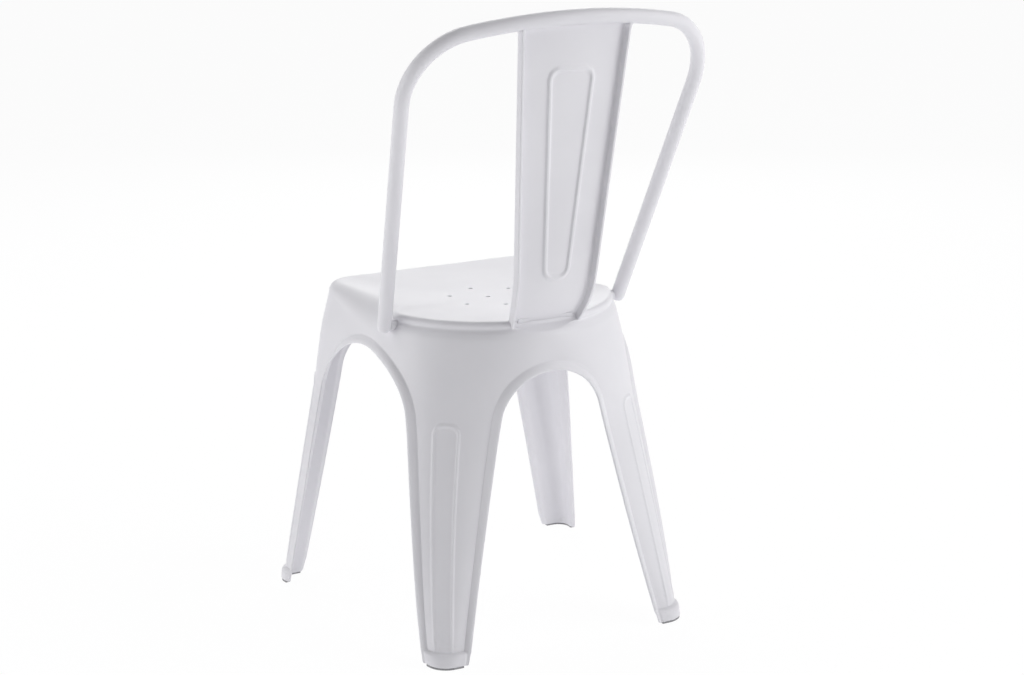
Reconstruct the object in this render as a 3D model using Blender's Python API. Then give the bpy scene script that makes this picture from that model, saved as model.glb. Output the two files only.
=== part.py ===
"""Plastic bistro chair: a moulded seat-and-leg shell, a bent back hoop and a channelled back splat.

Metres, +Z up. The front of the chair faces -Y, and +X is the sitter's left. The origin is on the floor,
in the middle of the chair's footprint box.
"""
import math

import bmesh
import bpy
from mathutils import Vector
from mathutils.bvhtree import BVHTree

# Seat and walls
SEAT_HEIGHT = 0.441
SEAT_DISH = 0.007
SEAT_DISH_POWER = 0.75
WALL = 0.0032
RIM_ROUND_FRONT = 0.013
RIM_ROUND_SIDE = 0.041
RIM_ROUND_REAR = 0.009
RIM_BAND = 0.001
SEAT_REAR_HALF_WIDTH = 0.1715
SEAT_REAR_DEPTH = 0.171
SEAT_REAR_CORNER = 0.169
SEAT_FRONT_HALF_WIDTH = 0.1675
SEAT_FRONT_DEPTH = 0.191
SEAT_FRONT_CORNER = 0.042
SEAT_SIDE_MIDDLE = -0.003
APRON_STEP_REAR = 0.006
APRON_STEP_FRONT = 0.003
APRON_STEP_HEIGHT = 0.012
APRON_FADE_DROP = 0.161
DRAIN_HOLE_RADIUS = 0.003
DRAIN_RING_RADIUS = 0.0525

# Stance of the legs at the floor
FOOT_REAR_HALF_WIDTH = 0.1855
FOOT_REAR_DEPTH = 0.2128
FOOT_REAR_CORNER = 0.024
FOOT_FRONT_HALF_WIDTH = 0.2393
FOOT_FRONT_DEPTH = 0.2085
FOOT_FRONT_CORNER = 0.02
FOOT_SIDE_MIDDLE = -0.005
REAR_CORNER_TAPER_POWER = 1.05
FRONT_CORNER_TAPER_POWER = 2.0
FRONT_WIDTH_TAPER_POWER = 1.1
DEPTH_FLARE_POWER = 1.9

# Arches between the legs, measured at the free edge of the lip, with crowns set down from the seat
REAR_ARCH_DROP = 0.0675
REAR_ARCH_HALF = 0.0745
REAR_ARCH_RISE = 0.0745
REAR_ARCH_FOOT = 0.1452
SIDE_ARCH_DROP = 0.054
SIDE_ARCH_REAR_HALF = 0.1038
SIDE_ARCH_REAR_RISE = 0.1
SIDE_ARCH_REAR_FOOT = 0.1835
SIDE_ARCH_FRONT_HALF = 0.128
SIDE_ARCH_FRONT_RISE = 0.105
SIDE_ARCH_FRONT_FOOT = 0.168
FRONT_ARCH_DROP = 0.059
FRONT_ARCH_HALF = 0.135
FRONT_ARCH_RISE = 0.085
FRONT_ARCH_FOOT = 0.1985

# Flared lip along the arches, toe caps and raised beads
LIP_WIDTH_TOP = 0.0115
LIP_WIDTH_FOOT = 0.008
LIP_FLARE = 0.006
LIP_CURL_POWER = 1.6
TOE_PROUD = 0.0055
TOE_HEIGHT = 0.02
TOE_EDGE = 0.0015
TOE_SHOULDER = 0.006
TOE_EDGE_SHARE = 0.75
TOE_FOOT_SHARE = 0.85
PAD_THICKNESS = 0.0022
PAD_INSET = 0.0008
BEAD_WIDTH = 0.006
BEAD_HEIGHT = 0.0016
LEG_BEAD_DROP = 0.133
LEG_BEAD_TOP_HALF = 0.017
LEG_BEAD_FOOT_HALF = 0.0115
LEG_BEAD_CORNER = 0.012

# Ribs and stacking webs under the seat
RIB_THICKNESS = 0.0026
RIB_DEPTH = 0.016
RIB_INSET = 0.03
LONG_RIB_INNER_X = 0.022
LONG_RIB_OUTER_X = 0.09
CROSS_RIB_REAR_INSET = 0.0835
CROSS_RIB_MIDDLE_INSET = 0.1035
CROSS_RIB_FRONT_INSET = 0.046
WEB_THICKNESS = 0.003
WEB_DROP = 0.093
WEB_CORNER = 0.008
WEB_WIDTH = 0.048
FRONT_WEB_INSET = 0.026
REAR_WEB_INSET = 0.061

# Back hoop
HOOP_RADIUS = 0.0096
HOOP_RISE = 0.4082
HOOP_FOOT_DROP = 0.0245
HOOP_SIDE_PROUD = 0.0087
HOOP_SPLAY = 0.103
HOOP_LEAN = 0.449
HOOP_Y_AT_SEAT = 0.0514
HOOP_BOW = 0.016
HOOP_BOW_HALF_WIDTH = 0.2
HOOP_RAIL_RADIUS = 0.82
HOOP_BEND_RADIUS = 0.083

# Hoop fixing: lug and boss on the shell, screw and washer
FIT_GAP = 0.0003
HOOP_LUG_RADIUS = 0.0048
HOOP_LUG_DROP = 0.0125
HOOP_LUG_LENGTH = 0.019
HOOP_BOSS_RADIUS = 0.0065
HOOP_BOSS_LENGTH = 0.026
HOOP_SCREW_DROP = 0.0155
HOOP_SCREW_RADIUS = 0.0025
HOOP_SCREW_HEAD_RADIUS = 0.00475
HOOP_SCREW_HEAD_HEIGHT = 0.0034
HOOP_SCREW_BITE = 0.006
WASHER_RADIUS = 0.006
WASHER_THICKNESS = 0.001

# Back splat
SPLAT_SEAT_INSET = 0.006
SPLAT_FOOT_RISE = 0.0153
SPLAT_FOOT_SLOPE = 0.64
SPLAT_RAIL_SETBACK = 0.0071
SPLAT_BEND_RADIUS = 0.155
SPLAT_FOOT_HALF = 0.051
SPLAT_NECK_HALF = 0.0587
SPLAT_NECK_RISE = 0.056
SPLAT_TOP_HALF = 0.0782
SPLAT_DEPTH = 0.014
SPLAT_PLATE = 0.004
SPLAT_FLANGE = 0.0032
SPLAT_BOW = 0.004
SPLAT_EDGE_ROUND = 0.003
SPLAT_SEAT_LEDGE = 0.0093
TONGUE_HALF = 0.04
TONGUE_DROP = 0.022
TONGUE_RISE = 0.006
TONGUE_ROOT = 0.005
LOOP_WIDTH = 0.008
LOOP_HEIGHT = 0.0022
LOOP_TOP_BELOW_RAIL = 0.066
LOOP_BOTTOM_RISE = 0.057
LOOP_TOP_HALF = 0.031
LOOP_BOTTOM_HALF = 0.0165
LOOP_CORNER = 0.014

# Splat fixing: boss inside the rear rim and two screws
SPLAT_BOSS_HALF = 0.06
SPLAT_BOSS_DEPTH = 0.038
SPLAT_BOSS_DROP = 0.039
SPLAT_SCREW_SPACING = 0.06
SPLAT_SCREW_RADIUS = 0.002
SPLAT_SCREW_DROP = 0.0235
SPLAT_SCREW_HEAD_RADIUS = 0.0036
SPLAT_SCREW_HEAD_HEIGHT = 0.0028
SPLAT_SCREW_BITE = 0.001

# Fineness of the moulded surface
HALF_COLUMNS = 6
ROUND_ROWS = 4
APRON_ROWS = 4
APRON_ROW_POWER = 1.4
ARCH_ROWS = 7
STRAIGHT_ROWS = 4
LIP_COLUMNS = 3
CORNER_STEPS = 4
LEG_BEAD_STEPS = 6
RIB_STEPS = 8
HOOP_SIDES = 16
HOOP_BAR_STEPS = 7
HOOP_BEND_STEPS = 8
HOOP_RAIL_STEPS = 5
SPLAT_BEND_STEPS = 5
SPLAT_RUN_STEPS = 8
SPLAT_WIDTH_STEPS = 8
SPLAT_BOSS_STEPS = 6
BOSS_SIDES = 20
SCREW_SIDES = 12
WASHER_SIDES = 16
SMOOTH_ANGLE = 35.0
MERGE_DISTANCE = 0.00001

# Heights and places that follow from the sizes above
COLUMNS = 2 * HALF_COLUMNS
FOOT_BOTTOM = PAD_THICKNESS + FIT_GAP
BAND_BOTTOM = SEAT_HEIGHT - RIM_ROUND_FRONT - RIM_BAND
HOOP_FOOT = SEAT_HEIGHT - HOOP_FOOT_DROP
HOOP_HALF_AT_SEAT = SEAT_REAR_HALF_WIDTH + HOOP_SIDE_PROUD
RAIL_AXIS = SEAT_HEIGHT + HOOP_RISE - HOOP_RADIUS
SPLAT_FOOT = SEAT_HEIGHT - SPLAT_SEAT_LEDGE
SPLAT_REAR_AT_SEAT = SEAT_REAR_DEPTH - SPLAT_SEAT_INSET
CROSS_RIB_REAR_Y = SEAT_REAR_DEPTH - CROSS_RIB_REAR_INSET

# Which way a quarter of the chair lies
REAR = 1
FRONT = -1
LEFT = 1
RIGHT = -1


def make_material(name, colour, roughness, metallic):
    """Plain finish of one piece."""
    material = bpy.data.materials.new(name)
    material.use_nodes = True
    shader = material.node_tree.nodes["Principled BSDF"]
    shader.inputs["Base Color"].default_value = (*colour, 1.0)
    shader.inputs["Roughness"].default_value = roughness
    shader.inputs["Metallic"].default_value = metallic
    return material


def make_object(name, bm, material=None):
    """Turn a bmesh into a named object in the scene."""
    mesh = bpy.data.meshes.new(name)
    bmesh.ops.recalc_face_normals(bm, faces=bm.faces)
    bm.to_mesh(mesh)
    bm.free()
    mesh.shade_smooth()
    mesh.set_sharp_from_angle(angle=math.radians(SMOOTH_ANGLE))
    piece = bpy.data.objects.new(name, mesh)
    bpy.context.scene.collection.objects.link(piece)
    if material:
        mesh.materials.append(material)
    return piece


def combine(target, tool, operation):
    """Join the tool to the target or cut it away, and remove the tool."""
    tool.hide_render = True
    tool.display_type = "WIRE"
    step = target.modifiers.new(tool.name, "BOOLEAN")
    step.operation = operation
    step.solver = "EXACT"
    step.object = tool
    depsgraph = bpy.context.evaluated_depsgraph_get()
    result = bpy.data.meshes.new_from_object(target.evaluated_get(depsgraph))
    target.modifiers.remove(step)
    before = target.data
    name = before.name
    target.data = result
    bpy.data.meshes.remove(before)
    result.name = name
    bpy.data.objects.remove(tool)


def loft(bm, rings, closed=False):
    """Skin a row of equal rings with quads, with flat caps unless the row closes on itself."""
    rows = [[bm.verts.new(point) for point in ring] for ring in rings]
    pairs = list(zip(rows, rows[1:]))
    if closed:
        pairs.append((rows[-1], rows[0]))
    count = len(rows[0])
    for lower, upper in pairs:
        for i in range(count):
            k = (i + 1) % count
            bm.faces.new((lower[i], lower[k], upper[k], upper[i]))
    if not closed:
        bm.faces.new(rows[0])
        bm.faces.new(rows[-1])


def circle_ring(centre, first, second, radius, sides):
    """Points of a circle in the plane of two unit vectors."""
    turns = [2.0 * math.pi * (i + 0.5) / sides for i in range(sides)]
    return [centre + first * (radius * math.cos(a)) + second * (radius * math.sin(a)) for a in turns]


def cylinder(name, start, end, radius, sides):
    """Round bar between two points."""
    bm = bmesh.new()
    axis = (end - start).normalized()
    first = axis.orthogonal().normalized()
    second = axis.cross(first)
    loft(bm, [circle_ring(point, first, second, radius, sides) for point in (start, end)])
    return make_object(name, bm)


def plate(name, outline, thickness):
    """Flat plate: an outline of points given an equal thickness each way along a vector."""
    bm = bmesh.new()
    loft(bm, [[point + thickness * side for point in outline] for side in (-0.5, 0.5)])
    return make_object(name, bm)


def blend(start, end, share):
    return start + (end - start) * share


def ease(share):
    """Soft start and stop between 0 and 1."""
    share = min(1.0, max(0.0, share))
    return share * share * (3.0 - 2.0 * share)


def height_share(z):
    """0 at the floor, 1 from the bottom of the rim band upwards."""
    return min(z, BAND_BOTTOM) / BAND_BOTTOM


def apron_step(z, end):
    """How far the apron swells out below the rim band, before it fades into the legs."""
    most = APRON_STEP_REAR if end == REAR else APRON_STEP_FRONT
    full = BAND_BOTTOM - APRON_STEP_HEIGHT
    gone = SEAT_HEIGHT - APRON_FADE_DROP
    rise = ease((BAND_BOTTOM - z) / APRON_STEP_HEIGHT)
    return most * rise * ease((z - gone) / (full - gone))


def plan_corner(z, end):
    """Sharp corner of the plan outline and its fillet radius, at one height. The legs splay evenly sideways,
    and flare to the front and rear only towards the feet."""
    share = height_share(z)
    depth_share = 1.0 - (1.0 - share) ** DEPTH_FLARE_POWER
    swell = apron_step(z, end)
    if end == REAR:
        x = blend(FOOT_REAR_HALF_WIDTH, SEAT_REAR_HALF_WIDTH, share)
        y = blend(FOOT_REAR_DEPTH, SEAT_REAR_DEPTH, depth_share)
        radius = blend(FOOT_REAR_CORNER, SEAT_REAR_CORNER, share ** REAR_CORNER_TAPER_POWER)
    else:
        x = blend(FOOT_FRONT_HALF_WIDTH, SEAT_FRONT_HALF_WIDTH, share ** FRONT_WIDTH_TAPER_POWER)
        y = blend(FOOT_FRONT_DEPTH, SEAT_FRONT_DEPTH, depth_share)
        radius = blend(FOOT_FRONT_CORNER, SEAT_FRONT_CORNER, share ** FRONT_CORNER_TAPER_POWER)
    return Vector((x + swell, end * (y + swell))), radius + swell


class Quarter:
    """Plan outline of one quarter at one height: from the middle of the rear or front edge, round the
    corner, to the middle of the side."""

    def __init__(self, z, end):
        self.z = z
        self.end = end
        self.corner, radius = plan_corner(z, end)
        other, _ = plan_corner(z, -end)
        self.along_side = (other - self.corner).normalized()
        self.turn = math.acos(self.along_side.x)
        self.tangent = min(radius * math.tan(self.turn / 2.0), self.corner.x)
        self.radius = self.tangent / math.tan(self.turn / 2.0)
        self.straight = self.corner.x - self.tangent
        self.arc = self.radius * self.turn
        self.side_middle = blend(FOOT_SIDE_MIDDLE, SEAT_SIDE_MIDDLE, height_share(z))
        side_length = (self.side_middle - self.corner.y) / self.along_side.y
        self.length = self.straight + self.arc + side_length - self.tangent
        self.corner_middle = self.straight + self.arc / 2.0

    def at(self, run):
        """Point at a distance along the outline, on the sitter's left."""
        if run <= self.straight:
            return Vector((run, self.corner.y, self.z))
        if run <= self.straight + self.arc:
            angle = (run - self.straight) / self.radius
            x = self.straight + self.radius * math.sin(angle)
            y = self.corner.y - self.end * self.radius * (1.0 - math.cos(angle))
            return Vector((x, y, self.z))
        point = self.corner + self.along_side * (self.tangent + run - self.straight - self.arc)
        return Vector((point.x, point.y, self.z))

    def run_at_x(self, x):
        """Distance along the outline where the rear or front wall reaches x."""
        if x <= self.straight:
            return x
        return self.straight + self.radius * math.asin(min(1.0, (x - self.straight) / self.radius))

    def run_at_y(self, y):
        """Distance along the outline where the side wall reaches y."""
        fall = self.end * (self.corner.y - y)
        arc_fall = self.radius * (1.0 - math.cos(self.turn))
        if fall <= arc_fall:
            return self.straight + self.radius * math.acos(1.0 - max(0.0, fall) / self.radius)
        return self.straight + self.arc + (y - self.corner.y) / self.along_side.y - self.tangent

    def outward(self, run):
        """Level unit vector pointing out of the outline."""
        step = 0.0005
        before = self.at(max(0.0, run - step))
        after = self.at(run + step)
        along = (after - before).normalized()
        return Vector((self.end * -along.y, self.end * along.x, 0.0))


def wall_normal(z, end, run):
    """Unit normal of the sloping outer wall."""
    step = 0.002
    here = Quarter(z, end)
    level = here.outward(run)
    above = Quarter(z + step, end).at(run) - here.at(run)
    along = Vector((-level.y, level.x, 0.0))
    normal = along.cross(above).normalized()
    return normal if normal.dot(level) > 0.0 else -normal


def toe_heights():
    """Heights of the rows that shape a toe cap, from its ledge to the foot."""
    return [TOE_HEIGHT - TOE_EDGE, TOE_HEIGHT - TOE_SHOULDER, FOOT_BOTTOM]


def arch_line(crown, half, rise, foot_half):
    """One side of an arch as (half gap, height) pairs: an elliptical crown that runs tangentially into a
    straight edge down to the foot."""
    squeeze = rise / half
    centre = crown - rise
    reach = math.hypot(foot_half * squeeze, centre)
    spring = math.acos(rise / reach) - math.atan2(centre, foot_half * squeeze)
    line = []
    for i in range(ARCH_ROWS + 1):
        angle = blend(math.pi / 2.0, spring, i / ARCH_ROWS)
        line.append((half * math.cos(angle), centre + rise * math.sin(angle)))
    spring_gap, spring_z = line[-1]
    lower = [blend(spring_z, TOE_HEIGHT, (i + 1) / STRAIGHT_ROWS) for i in range(STRAIGHT_ROWS)]
    for z in lower + toe_heights():
        line.append((blend(foot_half, spring_gap, z / spring_z), z))
    return line


def arch_pair(drop, half, rise, foot_half):
    """Crease and free edge of an arch's lip."""
    crown = SEAT_HEIGHT - drop
    crease = arch_line(crown + LIP_WIDTH_TOP, half + LIP_WIDTH_TOP, rise + LIP_WIDTH_TOP,
                       foot_half + LIP_WIDTH_FOOT)
    return crease, arch_line(crown, half, rise, foot_half)


def end_arch(end):
    if end == REAR:
        return arch_pair(REAR_ARCH_DROP, REAR_ARCH_HALF, REAR_ARCH_RISE, REAR_ARCH_FOOT)
    return arch_pair(FRONT_ARCH_DROP, FRONT_ARCH_HALF, FRONT_ARCH_RISE, FRONT_ARCH_FOOT)


def side_arch(end):
    if end == REAR:
        return arch_pair(SIDE_ARCH_DROP, SIDE_ARCH_REAR_HALF, SIDE_ARCH_REAR_RISE, SIDE_ARCH_REAR_FOOT)
    return arch_pair(SIDE_ARCH_DROP, SIDE_ARCH_FRONT_HALF, SIDE_ARCH_FRONT_RISE, SIDE_ARCH_FRONT_FOOT)


def end_run(gap, z, end):
    """Run along the outline of a point on the rear or front arch."""
    return Quarter(z, end).run_at_x(gap)


def side_run(gap, z, end):
    """Run along the outline of a point on the side arch."""
    quarter = Quarter(z, end)
    return quarter.run_at_y(quarter.side_middle + end * gap)


def wall_row(end, first_run, first_z, last_gap, last_z):
    """Points across one quarter's wall, from the end arch to the side arch, with a column on the corner."""
    last = Quarter(last_z, end)
    last_from_side = last.length - side_run(last_gap, last_z, end)
    row = []
    for j in range(COLUMNS + 1):
        here = Quarter(blend(first_z, last_z, j / COLUMNS), end)
        if j <= HALF_COLUMNS:
            run = blend(first_run, here.corner_middle, j / HALF_COLUMNS)
        else:
            from_side = blend(here.length - here.corner_middle, last_from_side, j / HALF_COLUMNS - 1.0)
            run = here.length - from_side
        row.append(here.at(run))
    return row


def lip_points(end, on_side, crease, edge):
    """Points of the lip between crease and free edge, each with how far it stands proud of the wall."""
    points = []
    for k in range(1, LIP_COLUMNS + 1):
        share = k / LIP_COLUMNS
        gap = blend(crease[0], edge[0], share)
        z = blend(crease[1], edge[1], share)
        run = side_run(gap, z, end) if on_side else end_run(gap, z, end)
        flare = LIP_FLARE * share ** LIP_CURL_POWER
        point = Quarter(z, end).at(run) + wall_normal(z, end, run) * flare
        if z <= FOOT_BOTTOM:
            point.z = FOOT_BOTTOM
        points.append((point, flare))
    return points


def rim_round(y):
    """Radius of the rolled rim: small and crisp at the rear, large at the sides, medium at the front."""
    if y > 0.0:
        return blend(RIM_ROUND_SIDE, RIM_ROUND_REAR, ease(y / SEAT_REAR_DEPTH))
    return blend(RIM_ROUND_SIDE, RIM_ROUND_FRONT, ease(-y / SEAT_FRONT_DEPTH))


def rim_columns(end):
    """Columns of one quarter's rim: (share from the middle of the end to the middle of the side, roll)."""
    band = Quarter(BAND_BOTTOM, end)
    columns = []
    for j in range(COLUMNS + 1):
        if j <= HALF_COLUMNS:
            run = blend(0.0, band.corner_middle, j / HALF_COLUMNS)
        else:
            run = blend(band.corner_middle, band.length, j / HALF_COLUMNS - 1.0)
        columns.append((run / band.length, rim_round(band.at(run).y)))
    return columns


def rim_rows(end):
    """Rows of one quarter from the edge of the seat top, over the rolled rim, down to the arch crown."""
    columns = rim_columns(end)
    rows = []
    for i in range(ROUND_ROWS + 1):
        angle = math.pi / 2.0 * i / ROUND_ROWS
        row = []
        for share, radius in columns:
            wall = Quarter(SEAT_HEIGHT - radius, end)
            run = share * wall.length
            point = wall.at(run) - wall.outward(run) * (radius * (1.0 - math.sin(angle)))
            point.z = SEAT_HEIGHT - radius * (1.0 - math.cos(angle))
            row.append(point)
        rows.append(row)
    crown = wall_row(end, 0.0, end_arch(end)[0][0][1], 0.0, side_arch(end)[0][0][1])
    for i in range(1, APRON_ROWS):
        row = []
        for (share, radius), low in zip(columns, crown):
            wall = Quarter(blend(SEAT_HEIGHT - radius, low.z, (i / APRON_ROWS) ** APRON_ROW_POWER), end)
            row.append(wall.at(share * wall.length))
        rows.append(row)
    return rows


def leg_rows(end):
    """Rows of one quarter from the arch crown to the foot, with the lips at both ends of each row."""
    end_crease, end_edge = end_arch(end)
    side_crease, side_edge = side_arch(end)
    rows = []
    for a, b, c, d in zip(end_crease, end_edge, side_crease, side_edge):
        wall = [(point, 0.0) for point in wall_row(end, end_run(a[0], a[1], end), a[1], c[0], c[1])]
        before = lip_points(end, False, a, b)
        after = lip_points(end, True, c, d)
        rows.append(before[::-1] + wall + after)
    return rows


def grid_faces(bm, rows):
    for upper, lower in zip(rows, rows[1:]):
        for j in range(len(upper) - 1):
            bm.faces.new((upper[j], upper[j + 1], lower[j + 1], lower[j]))


def mirrored(point, side):
    return Vector((side * point.x, point.y, point.z))


def seat_top_grid(ring):
    """Dished seat top: a patch blended from its four edges, which meet at the middles of the corners."""
    count = COLUMNS
    turned = ring[-HALF_COLUMNS:] + ring[:-HALF_COLUMNS]
    rear = turned[:count + 1]
    left = turned[count:2 * count + 1]
    front = turned[2 * count:3 * count + 1][::-1]
    right = (turned[3 * count:] + turned[:1])[::-1]
    grid = []
    for i in range(count + 1):
        v = i / count
        row = []
        for j in range(count + 1):
            u = j / count
            point = blend(rear[j], front[j], v) + blend(right[i], left[i], u)
            point -= blend(blend(rear[0], rear[-1], u), blend(front[0], front[-1], u), v)
            fall = (16.0 * u * (1.0 - u) * v * (1.0 - v)) ** SEAT_DISH_POWER
            point.z = SEAT_HEIGHT - SEAT_DISH * fall
            row.append(point)
        grid.append(row)
    return grid


def outer_skin():
    """Outer surface of the moulding without its toe caps, with each point's lip flare kept in a layer."""
    bm = bmesh.new()
    proud = bm.verts.layers.float.new("proud")
    ring = []
    for end, side in ((REAR, LEFT), (FRONT, LEFT), (FRONT, RIGHT), (REAR, RIGHT)):
        legs = leg_rows(end)
        crown = [point for point, _ in legs[0][LIP_COLUMNS:-LIP_COLUMNS]]
        rim = rim_rows(end) + [crown]
        grid_faces(bm, [[bm.verts.new(mirrored(point, side)) for point in row] for row in rim])
        rows = []
        for row in legs:
            verts = []
            for point, flare in row:
                vert = bm.verts.new(mirrored(point, side))
                vert[proud] = flare
                verts.append(vert)
            rows.append(verts)
        grid_faces(bm, rows)
        edge = [mirrored(point, side) for point in rim[0]]
        ring += edge[:-1] if end * side > 0 else edge[:0:-1]
    grid_faces(bm, [[bm.verts.new(point) for point in row] for row in seat_top_grid(ring)])
    bmesh.ops.remove_doubles(bm, verts=bm.verts, dist=MERGE_DISTANCE)
    bmesh.ops.recalc_face_normals(bm, faces=bm.faces)
    top = max(bm.faces, key=lambda face: -face.calc_center_median().xy.length + face.calc_center_median().z)
    if top.normal.z < 0.0:
        bmesh.ops.reverse_faces(bm, faces=bm.faces)
    bm.normal_update()
    return bm, proud


def toe_offset(z):
    """How far the toe cap stands proud of the wall at one height."""
    edge, shoulder, _ = toe_heights()
    if z >= TOE_HEIGHT - MERGE_DISTANCE:
        return 0.0
    if z >= edge:
        return TOE_EDGE_SHARE * TOE_PROUD
    if z >= shoulder - MERGE_DISTANCE:
        return TOE_PROUD
    return TOE_FOOT_SHARE * TOE_PROUD


def thicken(bm, proud):
    """Give the skin its wall: an inner skin one wall below, toe caps outside, and edges closed between."""
    inner = {}
    level = {}
    for vert in bm.verts:
        place = vert.co - vert.normal * WALL
        if vert.co.z <= FOOT_BOTTOM + MERGE_DISTANCE:
            place.z = FOOT_BOTTOM
        inner[vert] = place
        level[vert] = Vector((vert.normal.x, vert.normal.y, 0.0)).normalized()
    skin = list(bm.faces)
    border = [edge for edge in bm.edges if edge.is_boundary]
    below = {vert: bm.verts.new(place) for vert, place in inner.items()}
    for vert, direction in level.items():
        vert.co += direction * max(0.0, toe_offset(vert.co.z) - vert[proud])
    for face in skin:
        bm.faces.new([below[vert] for vert in reversed(face.verts)])
    for edge in border:
        first, second = edge.verts
        bm.faces.new((first, second, below[second], below[first]))


def bead_section(place, across, normal, width, height, sunk):
    """Low rounded ridge standing on a surface, with its flat underside sunk into the wall."""
    profile = [(-0.5, -sunk), (0.5, -sunk), (0.5, 0.0), (0.22, height), (-0.22, height), (-0.5, 0.0)]
    return [place + across * (width * a) + normal * n for a, n in profile]


def rounded_line(points, radius):
    """Open line through points on a plane, with its inner corners rounded."""
    line = [points[0]]
    for before, corner, after in zip(points, points[1:], points[2:]):
        back = (before - corner).normalized()
        ahead = (after - corner).normalized()
        start = corner + back * radius
        end = corner + ahead * radius
        for i in range(CORNER_STEPS + 1):
            t = i / CORNER_STEPS
            line.append(start * (1 - t) ** 2 + corner * (2 * t * (1 - t)) + end * t ** 2)
    line.append(points[-1])
    return line


def leg_bead_line():
    """Path of a leg bead as (offset from the corner line, height): up, across the top and down again."""
    bottom = TOE_HEIGHT - TOE_EDGE
    foot = Vector((-LEG_BEAD_FOOT_HALF, bottom))
    top = Vector((-LEG_BEAD_TOP_HALF, SEAT_HEIGHT - LEG_BEAD_DROP))
    up = [blend(foot, top, i / LEG_BEAD_STEPS) for i in range(LEG_BEAD_STEPS)]
    down = [Vector((-point.x, point.y)) for point in reversed(up)]
    turn = rounded_line([up[-1], top, Vector((-top.x, top.y)), down[0]], LEG_BEAD_CORNER)
    return up[:-1] + turn + down[1:]


def leg_beads():
    """Raised beads on the outer corners of the four legs."""
    bm = bmesh.new()
    for end in (REAR, FRONT):
        for side in (LEFT, RIGHT):
            places = []
            normals = []
            for offset, z in leg_bead_line():
                run = Quarter(z, end).corner_middle + offset
                places.append(Quarter(z, end).at(run))
                normals.append(wall_normal(z, end, run))
            rings = []
            for i, place in enumerate(places):
                along = places[min(i + 1, len(places) - 1)] - places[max(i - 1, 0)]
                across = along.cross(normals[i]).normalized()
                section = bead_section(place, across, normals[i], BEAD_WIDTH, BEAD_HEIGHT, WALL / 2.0)
                rings.append([mirrored(point, side) for point in section])
            loft(bm, rings)
    return make_object("leg_beads", bm)


def top_of(tree, x, y):
    """Height of the seat's upper surface over a point."""
    hit = tree.ray_cast(Vector((x, y, 1.0)), Vector((0.0, 0.0, -1.0)))
    return hit[0].z


def seat_run(along_x, fixed):
    """Where a rib under the seat starts and stops, a fixed inset inside the rim."""
    if along_x:
        end = REAR if fixed > SEAT_SIDE_MIDDLE else FRONT
        quarter = Quarter(BAND_BOTTOM, end)
        reach = quarter.at(quarter.run_at_y(fixed)).x - RIB_INSET
        return -reach, reach
    rear = Quarter(BAND_BOTTOM, REAR)
    front = Quarter(BAND_BOTTOM, FRONT)
    return (front.at(front.run_at_x(fixed)).y + RIB_INSET, rear.at(rear.run_at_x(fixed)).y - RIB_INSET)


def seat_rib(name, tree, along_x, fixed, start, end):
    """Thin rib under the seat whose top follows the dish."""
    top = []
    bottom = []
    for i in range(RIB_STEPS + 1):
        run = blend(start, end, i / RIB_STEPS)
        x, y = (run, fixed) if along_x else (fixed, run)
        z = top_of(tree, x, y)
        top.append(Vector((x, y, z - WALL / 2.0)))
        bottom.append(Vector((x, y, z - WALL - RIB_DEPTH)))
    thickness = Vector((0.0, RIB_THICKNESS, 0.0)) if along_x else Vector((RIB_THICKNESS, 0.0, 0.0))
    return plate(name, top + bottom[::-1], thickness)


def add_ribs(shell, tree):
    """Grid of stiffening ribs on the underside of the seat."""
    for x in (-LONG_RIB_OUTER_X, -LONG_RIB_INNER_X, LONG_RIB_INNER_X, LONG_RIB_OUTER_X):
        start, _ = seat_run(False, abs(x))
        combine(shell, seat_rib("long_rib", tree, False, x, start, CROSS_RIB_REAR_Y), "UNION")
    front_rib = CROSS_RIB_FRONT_INSET - SEAT_FRONT_DEPTH
    middle_rib = CROSS_RIB_MIDDLE_INSET - SEAT_FRONT_DEPTH
    for y in (front_rib, middle_rib, CROSS_RIB_REAR_Y):
        start, end = seat_run(True, y)
        combine(shell, seat_rib("cross_rib", tree, True, y, start, end), "UNION")


def stacking_web(side, end, y, tree):
    """Upright web across the top of a leg channel, which the next chair in a stack rests on."""
    rim = Quarter(BAND_BOTTOM, end)
    bottom = SEAT_HEIGHT - WEB_DROP
    low = Quarter(bottom, end)
    rim_x = rim.at(rim.run_at_y(y)).x
    low_x = low.at(low.run_at_y(y)).x
    inner_x = rim_x - WEB_WIDTH
    shoulder_x = rim_x - RIM_ROUND_FRONT - WALL
    outline = [Vector((inner_x, 0.0, top_of(tree, inner_x, y) - WALL / 2.0)),
               Vector((shoulder_x, 0.0, top_of(tree, shoulder_x, y) - WALL / 2.0)),
               Vector((rim_x - WALL / 2.0, 0.0, BAND_BOTTOM - WALL / 2.0)),
               Vector((low_x - WALL / 2.0, 0.0, bottom))]
    low_corner = [outline[-1], Vector((inner_x, 0.0, bottom)), outline[0]]
    outline += rounded_line(low_corner, WEB_CORNER)[1:-1]
    placed = [Vector((side * point.x, y, point.z)) for point in outline]
    return plate("stacking_web", placed, Vector((0.0, WEB_THICKNESS, 0.0)))


def hoop_axis_x(z):
    """Half spacing of the hoop's side bars at one height."""
    return HOOP_HALF_AT_SEAT + HOOP_SPLAY * (z - SEAT_HEIGHT)


def hoop_axis_y(x, z):
    """Lean of the hoop, with its top rail bowed to the rear."""
    bow = HOOP_BOW * (1.0 - (x / HOOP_BOW_HALF_WIDTH) ** 2)
    return HOOP_Y_AT_SEAT + HOOP_LEAN * (z - SEAT_HEIGHT) + bow


def hoop_point(x, z):
    return Vector((x, hoop_axis_y(x, z), z))


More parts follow.
